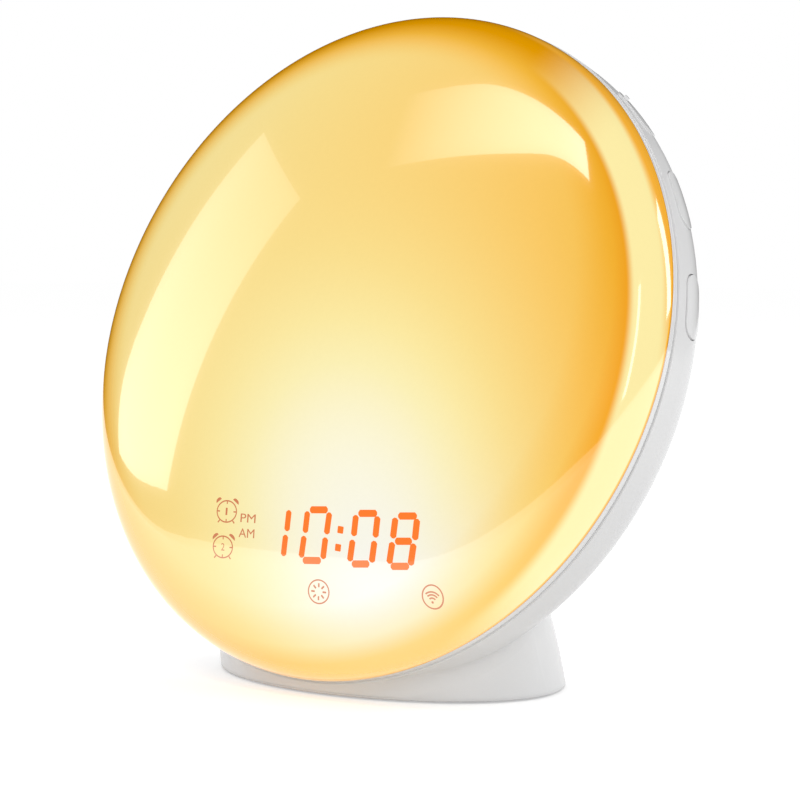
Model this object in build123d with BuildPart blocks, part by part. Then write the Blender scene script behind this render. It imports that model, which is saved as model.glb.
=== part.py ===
"""Sunrise alarm clock: a round lamp with a glowing dome, a clock behind its lower edge and six rim buttons.

Millimetres, +Z up, the face towards -Y. The origin is on the table, under the middle of the bounding box.
The round parts are turned about the face axis, which leans back; the foot and its base are built upright.
"""
from build123d import *
from math import atan2, copysign, cos, degrees, radians, sin
import os

os.makedirs("parts", exist_ok=True)

# Face: the plane of the dome's rim
lean_back = 18.5
rim_height = 3.8

# Diffuser dome
dome_radius = 84.0
dome_rise = 24.0
dome_edge = 12.0
dome_wall = 2.2
flange_width = 6.6
flange_thickness = 1.8
skirt_depth = 3.0
skirt_wall = 1.5
flange_inset = 0.2
skirt_fit = 0.1

# Front ring
ring_lip = 2.0
ring_seam = 0.12
tongue_depth = 2.2
tongue_wall = 1.6
lip_round = 0.3

# Rear housing
body_step = 0.4
body_straight = 7.5
body_edge = 12.5
body_depth = 33.6
wall = 2.2
ledge_thickness = 0.8

# Foot
foot_start = 4.0
foot_width = 96.4
foot_front = 35.1
foot_back = 30.9
foot_setback = 8.8
waist_height = 14.0
waist_width = 96.4
waist_front = 20.5
waist_back = 35.8
waist_setback = 0.4
neck_drop = 52.6
neck_width = 97.0
neck_front = 11.0
neck_back = 28.0
neck_setback = -4.1
crown_drop = 26.6
crown_width = 92.0
crown_front = 8.0
crown_back = 10.0
crown_setback = -8.1
foot_blend = 4.8

# Base
base_setback = 6.9
pad_height = 0.4
pad_sink = 0.8
pad_radius = 5.0
pad_spread_x = 31.0
pad_spread_y = 15.0
plate_edge = 0.8
plate_chamfer = 0.35
plate_inset = 0.1
plate_step = 2.5
step_fit = 0.4
base_boss_x = 38.5
base_boss_back_x = 17.0
base_boss_back_y = 22.5
base_boss_height = 9.0
base_boss_wall = 2.1
boss_roof = 1.5
rib_reach = 9.0

# Screws
screw_radius = 1.5
screw_head_radius = 3.0
screw_head = 2.0
screw_fit = 0.05
screw_clear = 0.2
head_clear = 0.4
head_sink = 0.2
tip_room = 1.8
boss_wall = 1.6
pocket_floor = 3.5
small_screw_radius = 1.0
small_head_radius = 1.9
small_head = 1.3
small_clear = 0.1
small_bite = 3.0
small_room = 0.4

# Buttons on the rim
button_pitch = 18.7
button_first = 8.75
button_length = 15.2
button_width = 6.9
button_depth = 9.05
button_proud = 0.3
button_gap = 0.3
button_travel = 0.5
ear_room = 1.4
ear_thickness = 1.2
ear_reach = 1.3
ear_width = 4.0
pip_radius = 0.7
pip_offset = 5.6
pip_rise = 0.2
plunger_radius = 1.6

# Tact switches
switch_width = 6.2
switch_depth = 3.5
switch_height = 7.0
switch_inset = 7.5
switch_shift = 0.45
stem_radius = 1.75
stem_reach = 1.0
stem_length = 2.3
stem_fit = 0.05
stem_room = 0.3
button_board_reach = 1.1
button_board_width = 12.0
button_board_overrun = 7.0
button_post_inset = 4.0

# Reflector pan and boards
pan_depth = 5.2
pan_floor = 1.6
pan_fit = 0.8
pan_rim = 1.6
pan_screw_inset = 18.2
pan_screw_high = 45.0
pan_screw_low = 17.0
pan_boss_depth = 3.8
pan_boss_wall = 2.3
board_thickness = 1.2
led_board_fit = 3.1
led_board_chord = 41.0
led_screw_top = 52.0
led_screw_side = 50.0
led_screw_level = -10.0
led_ring_inner = 18.0
led_ring_middle = 36.0
led_ring_inset = 13.5
led_size = 3.5
led_thickness = 0.8

# Clock display behind the dome's lower edge
digit_height = 11.6
digit_width = 6.6
digit_pitch = 9.2
digit_bar = 1.5
digit_slant = 9.0
bar_gap = 0.35
display_level = -52.6
hour_units_x = 9.6
minute_tens_x = 24.4
colon_x = 16.9
colon_spread = 3.6
colon_radius = 0.9
hood_left = -25.0
hood_right = 47.5
hood_top = -44.0
hood_bottom = -70.0
hood_clearance = 0.4
lens_depth = 2.0
lens_fit = 0.05
icon_radius = 2.3
display_led = 1.0
display_led_height = 0.5

# Main board
main_width = 68.0
main_height = 42.0
main_level = -25.5
main_thickness = 1.6
main_gap = 7.4
post_radius = 2.8
post_x = 30.0
post_y = 17.0
post_bite = 4.5
header_length = 12.6
header_width = 2.8
header_fit = 0.25
header_led_x = -18.0
header_led_y = -32.0
header_display_x = 12.0
header_display_y = -47.0
wifi_x = -17.0
wifi_y = -12.0
wifi_width = 18.0
wifi_height = 16.0
wifi_board = 0.8
wifi_can_width = 12.0
wifi_can_height = 14.0
wifi_can_shift = 2.0
wifi_can_depth = 2.4
chip_depth = 1.4
processor_x = 20.0
processor_y = 2.0
processor_size = 10.0
amplifier_x = -12.0
amplifier_y = 9.0
amplifier_width = 8.0
amplifier_height = 5.0
regulator_x = 24.0
regulator_y = -12.0
regulator_width = 6.0
regulator_height = 5.0
capacitor_radius = 3.15
capacitor_height = 7.0
capacitor_y = 12.0
capacitor_x = 10.0
capacitor_step = 7.5

# Inlet at the back
jack_level = -18.0
jack_radius = 3.15
jack_pin_radius = 1.0
jack_body_width = 9.0
jack_body_height = 11.0
jack_bore_depth = 9.5
jack_recess_radius = 7.0
jack_recess_floor = 30.8
jack_nose = 4.4
jack_fit = 0.1
jack_recess_taper = 4

# Speaker and its grille
speaker_level = 26.0
speaker_radius = 27.8
speaker_seat = 23.5
speaker_wall = 3.0
speaker_flange = 1.2
basket_depth = 7.8
basket_sheet = 1.2
magnet_radius = 15.0
magnet_depth = 4.5
magnet_chamfer = 0.4
cone_sheet = 0.8
cone_eye = 8.0
cone_travel = 2.0
voice_coil = 7.0
grille_hole = 1.5
grille_pitch = 6.0
grille_rings = 3

# Backup cell under the base
cell_radius = 10.0
cell_height = 3.2
cell_fit = 0.4
cell_round = 0.5
holder_wall = 1.2
holder_roof = 1.4
door_width = 27.0
door_depth = 32.0
door_fit = 0.2
door_round = 3.0
door_shift = 2.5
door_screw_inset = 3.2
cell_y = -1.0

# Derived places
lean_sin, lean_cos = sin(radians(lean_back)), cos(radians(lean_back))
face_height = rim_height + dome_radius * lean_cos
neck_height = face_height - neck_drop
crown_height = face_height - crown_drop
body_radius = dome_radius + body_step
seam_depth = ring_lip + ring_seam
tongue_end = ring_lip + tongue_depth
tongue_inner = body_radius - wall - tongue_wall
skirt_outer = tongue_inner - skirt_fit
base_top = pad_height + plate_edge
plate_top = base_top + plate_step

button_core = body_radius - wall - ear_room - ear_thickness
switch_face = body_radius - switch_inset
plunger_end = switch_face + stem_reach
board_depth = button_depth + switch_height / 2 + switch_shift
button_board_outer = switch_face + button_board_reach
button_board_inner = button_board_outer - button_board_width
button_post_circle = button_board_inner + button_post_inset
button_screw_angles = [button_first + button_pitch * k for k in (0.5, 1.5)]

pan_radius = skirt_outer - skirt_wall - pan_fit
pan_screw_circle = pan_radius - pan_screw_inset
led_board_radius = pan_radius - pan_rim - led_board_fit
board_level = -pan_depth + pan_floor
led_level = board_level + board_thickness
main_front = -pan_depth - main_gap
main_back = main_front - main_thickness


def crown_radius(radius, edge, rise):
    """Radius of the shallow cap that meets a rounded edge of the given size without a crease."""
    return ((radius - edge) ** 2 + rise**2 - edge**2) / (2 * (rise - edge))


dome_crown = crown_radius(dome_radius, dome_edge, dome_rise)
body_crown = crown_radius(body_radius, body_edge, body_depth - body_straight)
front_reach = dome_crown - (dome_crown - dome_rise) * lean_cos
back_reach = body_crown - (body_crown - body_depth) * lean_cos
face_y = (front_reach - back_reach) / 2

face = Plane(origin=(0, face_y, face_height), x_dir=(1, 0, 0), z_dir=(0, -lean_cos, lean_sin))
section = Plane(origin=face.origin, x_dir=(1, 0, 0), z_dir=-face.y_dir)
face_axis = Axis(face.origin, face.z_dir)


def cap_profile(radius, edge, rise, straight=0.0, start=0.0, way=1):
    """Half section of a turned cap: a straight wall, a rounded edge and a shallow crown."""
    lift = rise - straight
    crown = crown_radius(radius, edge, lift)
    turn = degrees(atan2(radius - edge, crown - lift))
    with BuildSketch(section) as profile:
        with BuildLine():
            Polyline((0, way * rise), (0, way * start), (radius, way * start))
            if straight > start:
                Line((radius, way * start), (radius, way * straight))
            CenterArc((radius - edge, way * straight), edge, 0, way * (90 - turn))
            CenterArc((0, way * (rise - crown)), crown, way * (90 - turn), way * turn)
        make_face()
    return profile.sketch


def ring_profile(inner, outer, low, high):
    """Half section of a plain turned ring between two depths along the face axis."""
    with BuildSketch(section) as profile:
        with Locations(((inner + outer) / 2, (low + high) / 2)):
            Rectangle(outer - inner, high - low)
    return profile.sketch


def rim_plane(angle, depth):
    """Plane on the face axis that looks outwards through the rim at an angle above the right-hand side."""
    a = radians(angle)
    outwards = (cos(a), sin(a) * lean_sin, sin(a) * lean_cos)
    along = (-sin(a), cos(a) * lean_sin, cos(a) * lean_cos)
    return Plane(origin=face.offset(-depth).origin, x_dir=along, z_dir=outwards)


# ---------------------------------------------------------------- Diffuser dome
with BuildPart() as diffuser_dome:
    revolve(cap_profile(dome_radius, dome_edge, dome_rise), axis=face_axis)
    revolve(
        cap_profile(dome_radius - dome_wall, dome_edge - dome_wall, dome_rise - dome_wall),
        axis=face_axis,
        mode=Mode.SUBTRACT,
    )
    revolve(ring_profile(dome_radius - flange_width, dome_radius - flange_inset, 0, flange_thickness), axis=face_axis)
    revolve(ring_profile(skirt_outer - skirt_wall, skirt_outer, -skirt_depth, flange_thickness), axis=face_axis)
diffuser_dome.part.label = "diffuser_dome"
export_step(diffuser_dome.part, "parts/diffuser_dome.step")

# ---------------------------------------------------------------- Front ring
with BuildPart() as front_ring:
    revolve(ring_profile(tongue_inner, dome_radius, -ring_lip, 0), axis=face_axis)
    revolve(ring_profile(tongue_inner, tongue_inner + tongue_wall, -tongue_end, 0), axis=face_axis)
    lip_edges = front_ring.edges().filter_by(GeomType.CIRCLE).filter_by(lambda e: abs(e.radius - dome_radius) < 0.01)
    fillet(lip_edges, lip_round)
front_ring.part.label = "front_ring"
export_step(front_ring.part, "parts/front_ring.step")


# ---------------------------------------------------------------- Rear housing with its foot
def foot_profile(height, width, front, back, setback, inset=0.0):
    """One level of the foot: half an ellipse in front of its widest line and a deeper half behind it."""
    middle, side = (0, face_y + setback), width / 2 - inset
    with BuildSketch(Plane.XY.offset(height)) as profile:
        with BuildLine():
            EllipticalCenterArc(middle, side, back - inset, start_angle=0, arc_size=180)
            EllipticalCenterArc(middle, side, front - inset, start_angle=180, arc_size=180)
        make_face()
    return profile.sketch


def foot_levels(inset=0.0):
    """The foot's sections from below the table upwards, so that its blend never runs off the lower end."""
    return [
        foot_profile(-foot_start, foot_width, foot_front, foot_back, foot_setback, inset),
        foot_profile(waist_height, waist_width, waist_front, waist_back, waist_setback, inset),
        foot_profile(neck_height, neck_width, neck_front, neck_back, neck_setback, inset),
        foot_profile(crown_height, crown_width, crown_front, crown_back, crown_setback, inset),
    ]


with BuildPart() as foot_block:
    loft(foot_levels())
    split(bisect_by=face.offset(-seam_depth), keep=Keep.BOTTOM)

with BuildPart() as body_block:
    revolve(
        cap_profile(body_radius, body_edge, body_depth, body_straight, seam_depth, -1), axis=face_axis
    )
    add(foot_block.part)
    joint_edges = body_block.edges(Select.NEW).filter_by(
        lambda e: e.geom_type == GeomType.BSPLINE
        and e.center().Z > base_top + 0.5
        and face.to_local_coords(e @ 0.5).Z < -seam_depth - 0.05
    )
    fillet(joint_edges, foot_blend)
    split(bisect_by=Plane.XY.offset(base_top), keep=Keep.TOP)

with BuildPart() as foot_hollow:
    loft(foot_levels(wall))
    split(bisect_by=face.offset(-seam_depth - wall), keep=Keep.BOTTOM)

base_y = face_y + base_setback
cell_centre_y = base_y + cell_y
door_y = cell_centre_y + door_shift
door_screw_y = door_y + door_depth / 2 - door_screw_inset
pan_screws = [
    (pan_screw_circle * cos(radians(a)), pan_screw_circle * sin(radians(a)))
    for a in (pan_screw_high, 180 - pan_screw_high, 180 + pan_screw_low, -pan_screw_low)
]
base_bosses = [
    (-base_boss_x, base_y),
    (base_boss_x, base_y),
    (-base_boss_back_x, base_y + base_boss_back_y),
    (base_boss_back_x, base_y + base_boss_back_y),
]
button_posts = [
    (side * button_post_circle * cos(radians(a)), button_post_circle * sin(radians(a)))
    for side in (1, -1)
    for a in button_screw_angles
]

with BuildPart() as bosses:
    with BuildSketch(face.offset(-pan_depth - pan_boss_depth)):
        with Locations(*pan_screws):
            Circle(screw_head_radius + head_clear + boss_wall)
    extrude(amount=-body_depth)
    with BuildSketch(face.offset(-board_depth - board_thickness)):
        with Locations(*button_posts):
            Circle(small_screw_radius + boss_wall)
    extrude(amount=-body_depth)
    with BuildSketch(face.offset(-speaker_seat)):
        with Locations((0, speaker_level)):
            Circle(speaker_radius)
            Circle(speaker_radius - speaker_wall, mode=Mode.SUBTRACT)
    extrude(amount=-body_depth)
    with BuildSketch(face.offset(-jack_recess_floor + wall)):
        with Locations((0, jack_level)):
            Circle(jack_recess_radius + wall)
    extrude(amount=-body_depth)
    with BuildSketch(Plane.XY.offset(plate_top)):
        with Locations(*base_bosses):
            Circle(screw_radius + base_boss_wall)
        for x, y in base_bosses[:2]:
            with Locations((x + copysign(rib_reach / 2, x), y)):
                Rectangle(rib_reach, boss_wall)
        for x, y in base_bosses[2:]:
            with Locations((x, y + rib_reach / 2)):
                Rectangle(boss_wall, rib_reach)
    extrude(amount=base_boss_height)
    add(body_block.part, mode=Mode.INTERSECT)

with BuildPart() as rear_housing:
    add(body_block.part)
    revolve(
        cap_profile(
            body_radius - wall, body_edge - wall, body_depth - wall, body_straight, 0, -1
        ),
        axis=face_axis,
        mode=Mode.SUBTRACT,
    )
    add(foot_hollow.part, mode=Mode.SUBTRACT)
    revolve(
        ring_profile(tongue_inner, body_radius - wall, -tongue_end - ledge_thickness, -tongue_end),
        axis=face_axis,
    )
    add(bosses.part)
    # Pockets for the long screws, from the back
    with BuildSketch(face.offset(-pan_depth - pan_boss_depth)):
        with Locations(*pan_screws):
            Circle(screw_radius + screw_clear)
    extrude(amount=-body_depth, mode=Mode.SUBTRACT)
    with BuildSketch(face.offset(-pan_depth - pan_boss_depth - pocket_floor)):
        with Locations(*pan_screws):
            Circle(screw_head_radius + head_clear)
    extrude(amount=-body_depth, mode=Mode.SUBTRACT)
    # Blind holes for the small screws of the button boards and for the base screws
    with BuildSketch(face.offset(-board_depth - board_thickness)):
        with Locations(*button_posts):
            Circle(small_screw_radius + screw_fit)
    extrude(amount=-small_bite - small_room, mode=Mode.SUBTRACT)
    with BuildSketch(Plane.XY.offset(plate_top)):
        with Locations(*base_bosses):
            Circle(screw_radius + screw_fit)
    extrude(amount=base_boss_height - boss_roof, mode=Mode.SUBTRACT)
    # Button slots through the rim
    for side in (0, 180):
        for k in range(3):
            angle = button_first + button_pitch * k
            with BuildSketch(rim_plane(angle if side == 0 else side - angle, button_depth).offset(button_core)):
                SlotOverall(button_length + 2 * button_gap, button_width + 2 * button_gap)
            extrude(amount=body_radius, mode=Mode.SUBTRACT)
    # Speaker grille: rings of round holes in the back
    with BuildSketch(face.offset(-speaker_seat)):
        with Locations((0, speaker_level)):
            Circle(grille_hole)
            for ring in range(1, grille_rings + 1):
                with PolarLocations(grille_pitch * ring, 6 * ring):
                    Circle(grille_hole)
    extrude(amount=-body_depth, mode=Mode.SUBTRACT)
    # Recess and hole of the inlet
    with BuildSketch(face.offset(-jack_recess_floor)):
        with Locations((0, jack_level)):
            Circle(jack_recess_radius)
    extrude(amount=-body_depth, taper=-jack_recess_taper, mode=Mode.SUBTRACT)
    with BuildSketch(face.offset(-speaker_seat)):
        with Locations((0, jack_level)):
            Circle(jack_nose + jack_fit)
    extrude(amount=-body_depth, mode=Mode.SUBTRACT)
rear_housing.part.label = "rear_housing"
export_step(rear_housing.part, "parts/rear_housing.step")

# ---------------------------------------------------------------- Base: plate, feet, screws
with BuildPart() as locating_step:
    loft(foot_levels(wall + step_fit))
    split(bisect_by=Plane.XY.offset(base_top), keep=Keep.TOP)
    split(bisect_by=Plane.XY.offset(plate_top), keep=Keep.BOTTOM)
    split(bisect_by=face.offset(-tongue_end - ledge_thickness - step_fit), keep=Keep.BOTTOM)

with BuildPart() as base_plate:
    loft(foot_levels(plate_inset))
    split(bisect_by=Plane.XY.offset(pad_height), keep=Keep.TOP)
    chamfer(base_plate.edges().group_by(Axis.Z)[0], plate_chamfer)
    split(bisect_by=Plane.XY.offset(base_top), keep=Keep.BOTTOM)
    add(locating_step.part)
    with BuildSketch(Plane.XY.offset(pad_height)):
        with Locations((0, base_y)):
            with GridLocations(2 * pad_spread_x, 2 * pad_spread_y, 2, 2):
                Circle(pad_radius)
    extrude(amount=pad_sink, mode=Mode.SUBTRACT)
    with BuildSketch(Plane.XY.offset(pad_height)):
        with Locations(*base_bosses):
            Circle(screw_head_radius + head_clear)
    extrude(amount=screw_head + head_sink, mode=Mode.SUBTRACT)
    with BuildSketch(Plane.XY.offset(pad_height)):
        with Locations(*base_bosses):
            Circle(screw_radius + screw_clear)
    extrude(amount=plate_edge + plate_step, mode=Mode.SUBTRACT)
    # Opening of the cell door, with a round way through for the cell
    with BuildSketch(Plane.XY.offset(pad_height)):
        with Locations((0, door_y)):
            RectangleRounded(door_width, door_depth, door_round)
    extrude(amount=plate_edge, mode=Mode.SUBTRACT)
    with BuildSketch(Plane.XY.offset(base_top)):
        with Locations((0, cell_centre_y)):
            Circle(cell_radius + cell_fit)
    extrude(amount=plate_step, mode=Mode.SUBTRACT)
    with BuildSketch(Plane.XY.offset(base_top)):
        with Locations((0, door_screw_y)):
            Circle(small_screw_radius + screw_fit)
    extrude(amount=plate_step, mode=Mode.SUBTRACT)
base_plate.part.label = "base_plate"
export_step(base_plate.part, "parts/base_plate.step")

with BuildPart() as rubber_feet:
    with BuildSketch(Plane.XY):
        with Locations((0, base_y)):
            with GridLocations(2 * pad_spread_x, 2 * pad_spread_y, 2, 2):
                Circle(pad_radius)
    extrude(amount=pad_height + pad_sink)
rubber_feet.part.label = "rubber_feet"
export_step(rubber_feet.part, "parts/rubber_feet.step")

with BuildPart() as base_screws:
    with BuildSketch(Plane.XY.offset(pad_height + head_sink)):
        with Locations(*base_bosses):
            Circle(screw_head_radius)
    extrude(amount=screw_head)
    with BuildSketch(Plane.XY.offset(pad_height + head_sink)):
        with Locations(*base_bosses):
            Circle(screw_radius)
    extrude(amount=plate_top - pad_height - head_sink + base_boss_height - boss_roof - tip_room)
base_screws.part.label = "base_screws"
export_step(base_screws.part, "parts/base_screws.step")

with BuildPart() as battery_door:
    with BuildSketch(Plane.XY.offset(pad_height)):
        with Locations((0, door_y)):
            RectangleRounded(door_width - 2 * door_fit, door_depth - 2 * door_fit, door_round - door_fit)
    extrude(amount=plate_edge)
    with BuildSketch(Plane.XY.offset(pad_height)):
        with Locations((0, door_screw_y)):
            Circle(small_screw_radius + screw_clear)
    extrude(amount=plate_edge, mode=Mode.SUBTRACT)
battery_door.part.label = "battery_door"
export_step(battery_door.part, "parts/battery_door.step")

with BuildPart() as battery_door_screw:
    with BuildSketch(Plane.XY.offset(pad_height)):
        with Locations((0, door_screw_y)):
            Circle(small_screw_radius)
    extrude(amount=plate_edge + plate_step)
battery_door_screw.part.label = "battery_door_screw"
export_step(battery_door_screw.part, "parts/battery_door_screw.step")

with BuildPart() as coin_cell:
    with BuildSketch(Plane.XY.offset(base_top)):
        with Locations((0, cell_centre_y)):
            Circle(cell_radius)
    extrude(amount=cell_height)
    fillet(coin_cell.edges().group_by(Axis.Z)[0], cell_round)
coin_cell.part.label = "coin_cell"
export_step(coin_cell.part, "parts/coin_cell.step")

with BuildPart() as battery_holder:
    with BuildSketch(Plane.XY.offset(plate_top)):
        with Locations((0, cell_centre_y)):
            Circle(cell_radius + cell_fit + holder_wall)
    extrude(amount=base_top + cell_height + holder_roof - plate_top)
    with BuildSketch(Plane.XY.offset(plate_top)):
        with Locations((0, cell_centre_y)):
            Circle(cell_radius + cell_fit)
    extrude(amount=base_top + cell_height - plate_top, mode=Mode.SUBTRACT)
battery_holder.part.label = "battery_holder"
export_step(battery_holder.part, "parts/battery_holder.step")

with BuildPart() as housing_screws:
    head_seat = pan_depth + pan_boss_depth + pocket_floor
    with BuildSketch(face.offset(-head_seat - screw_head)):
        with Locations(*pan_screws):
            Circle(screw_head_radius)
    extrude(amount=screw_head)
    with BuildSketch(face.offset(-head_seat)):
        with Locations(*pan_screws):
            Circle(screw_radius)
    extrude(amount=head_seat - pan_depth - small_room)
housing_screws.part.label = "housing_screws"
export_step(housing_screws.part, "parts/housing_screws.step")

# ---------------------------------------------------------------- Reflector pan and lamp board
board_points = [(x, main_level + y) for x in (-post_x, post_x) for y in (-post_y, post_y)]
led_screw_points = [
    (0, led_screw_top),
    (-led_screw_side, led_screw_level),
    (led_screw_side, led_screw_level),
]
header_points = [(header_led_x, header_led_y), (header_display_x, header_display_y)]

with BuildPart() as reflector_pan:
    with BuildSketch(face.offset(-pan_depth)):
        Circle(pan_radius)
    extrude(amount=pan_floor)
    revolve(ring_profile(pan_radius - pan_rim, pan_radius, -pan_depth, 0), axis=face_axis)
    with BuildSketch(face.offset(-pan_depth)):
        with Locations(*pan_screws):
            Circle(screw_radius + pan_boss_wall)
    extrude(amount=-pan_boss_depth)
    with BuildSketch(face.offset(-pan_depth)):
        with Locations(*board_points):
            Circle(post_radius)
    extrude(amount=-main_gap)
    with BuildSketch(face.offset(-pan_depth)):
        with Locations(*pan_screws):
            Circle(screw_radius + screw_fit)
    extrude(amount=-pan_boss_depth, mode=Mode.SUBTRACT)
    with BuildSketch(face.offset(-pan_depth - main_gap)):
        with Locations(*board_points):
            Circle(small_screw_radius + screw_fit)
    extrude(amount=post_bite + small_room, mode=Mode.SUBTRACT)
    with BuildSketch(face.offset(-pan_depth)):
        with Locations(*led_screw_points):
            Circle(small_screw_radius + screw_fit)
        with Locations(*header_points):
            Rectangle(header_length + 2 * header_fit, header_width + 2 * header_fit)
    extrude(amount=pan_floor, mode=Mode.SUBTRACT)
reflector_pan.part.label = "reflector_pan"
export_step(reflector_pan.part, "parts/reflector_pan.step")

with BuildPart() as led_board:
    with BuildSketch(face.offset(board_level)):
        Circle(led_board_radius)
        with Locations((0, -led_board_chord - led_board_radius)):
            Rectangle(2 * led_board_radius, 2 * led_board_radius, mode=Mode.SUBTRACT)
        with Locations(*led_screw_points):
            Circle(small_screw_radius + small_clear, mode=Mode.SUBTRACT)
    extrude(amount=board_thickness)
led_board.part.label = "led_board"
export_step(led_board.part, "parts/led_board.step")

with BuildPart() as leds:
    with BuildSketch(face.offset(led_level)):
        with PolarLocations(led_ring_inner, 6):
            Rectangle(led_size, led_size)
        with PolarLocations(led_ring_middle, 12, start_angle=15):
            Rectangle(led_size, led_size)
        with PolarLocations(led_board_radius - led_ring_inset, 16, start_angle=-28, angular_range=236, endpoint=True):
            Rectangle(led_size, led_size)
    extrude(amount=led_thickness)
leds.part.label = "leds"
export_step(leds.part, "parts/leds.step")

# ---------------------------------------------------------------- Clock display
shear = sin(radians(digit_slant)) / cos(radians(digit_slant))


def bar(x0, y0, x1, y1):
    """One bar of a digit: a slim six-sided bar between two corners, shortened to leave a gap."""
    half = digit_bar / 2
    if y0 == y1:
        a, b = x0 + bar_gap, x1 - bar_gap
        return [(a, y0), (a + half, y0 + half), (b - half, y0 + half), (b, y0), (b - half, y0 - half), (a + half, y0 - half)]
    a, b = y0 + bar_gap, y1 - bar_gap
    return [(x0, a), (x0 - half, a + half), (x0 - half, b - half), (x0, b), (x0 + half, b - half), (x0 + half, a + half)]


def digit_bars(centre_x, names="abcdefg"):
    """Sloping seven-bar digit about a centre, as closed outlines."""
    w, h = (digit_width - digit_bar) / 2, (digit_height - digit_bar) / 2
    ends = {
        "a": (-w, h, w, h),
        "b": (w, 0, w, h),
        "c": (w, -h, w, 0),
        "d": (-w, -h, w, -h),
        "e": (-w, -h, -w, 0),
        "f": (-w, 0, -w, h),
        "g": (-w, 0, w, 0),
    }
    outlines = []
    for name in names:
        outlines.append([(centre_x + x + y * shear, display_level + y) for x, y in bar(*ends[name])])
    return outlines


all_bars = (
    digit_bars(hour_units_x - digit_pitch, "bc")
    + digit_bars(hour_units_x)
    + digit_bars(minute_tens_x)
    + digit_bars(minute_tens_x + digit_pitch)
)
dots = [(colon_x + d * shear, display_level + d) for d in (-colon_spread / 2, colon_spread / 2)]
icons = [(-18.6, -48.7), (-19.6, -56.2), (-11.8, -49.8), (-12.1, -54.6), (11.1, -64.8), (40.6, -61.5)]


def window_sketch(level):
    """Every lit shape of the clock: digit bars, colon dots and round icon windows."""
    with BuildSketch(face.offset(level)) as windows:
        for outline in all_bars:
            with BuildLine():
                Polyline(*outline, close=True)
            make_face()
        with Locations(*dots):
            Circle(colon_radius)
        with Locations(*icons):
            Circle(icon_radius)
    return windows.sketch


def dome_inside(clearance):
    return cap_profile(
        dome_radius - dome_wall - clearance, dome_edge - dome_wall - clearance, dome_rise - dome_wall - clearance
    )


with BuildPart() as display_board:
    with BuildSketch(face.offset(board_level)):
        Circle(led_board_radius)
        with Locations(((hood_left + hood_right) / 2, (hood_top + hood_bottom) / 2)):
            Rectangle(hood_right - hood_left, hood_top - hood_bottom, mode=Mode.INTERSECT)
    extrude(amount=board_thickness)
display_board.part.label = "display_board"
export_step(display_board.part, "parts/display_board.step")

with BuildPart() as display_hood:
    with BuildSketch(face.offset(led_level)):
        Circle(led_board_radius)
        with Locations(((hood_left + hood_right) / 2, (hood_top + hood_bottom) / 2)):
            Rectangle(hood_right - hood_left, hood_top - hood_bottom, mode=Mode.INTERSECT)
    extrude(amount=dome_rise)
    with BuildSketch(face.offset(flange_thickness + hood_clearance)):
        with Locations(((hood_left + hood_right) / 2, (hood_top + hood_bottom) / 2)):
            Rectangle(hood_right - hood_left, hood_top - hood_bottom)
    extrude(amount=dome_rise)
    with BuildPart(mode=Mode.PRIVATE) as hood_limit:
        revolve(dome_inside(hood_clearance), axis=face_axis)
        with BuildSketch(face):
            Circle(led_board_radius)
        extrude(amount=-pan_depth)
    add(hood_limit.part, mode=Mode.INTERSECT)
    extrude(window_sketch(led_level), amount=dome_rise, mode=Mode.SUBTRACT)
display_hood.part.label = "display_hood"
export_step(display_hood.part, "parts/display_hood.step")

with BuildPart() as lens_layer:
    revolve(dome_inside(hood_clearance), axis=face_axis)
    revolve(dome_inside(hood_clearance + lens_depth), axis=face_axis, mode=Mode.SUBTRACT)

with BuildPart() as display_segments:
    extrude(offset(window_sketch(flange_thickness), -lens_fit), amount=dome_rise)
    add(lens_layer.part, mode=Mode.INTERSECT)
display_segments.part.label = "display_segments"
export_step(display_segments.part, "parts/display_segments.step")

# ---------------------------------------------------------------- Buttons, their switches and boards
with BuildPart() as button_skin:
    revolve(
        cap_profile(
            body_radius + button_proud,
            body_edge + button_proud,
            body_depth + button_proud,
            body_straight,
            0,
            -1,
        ),
        axis=face_axis,
    )

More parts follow.
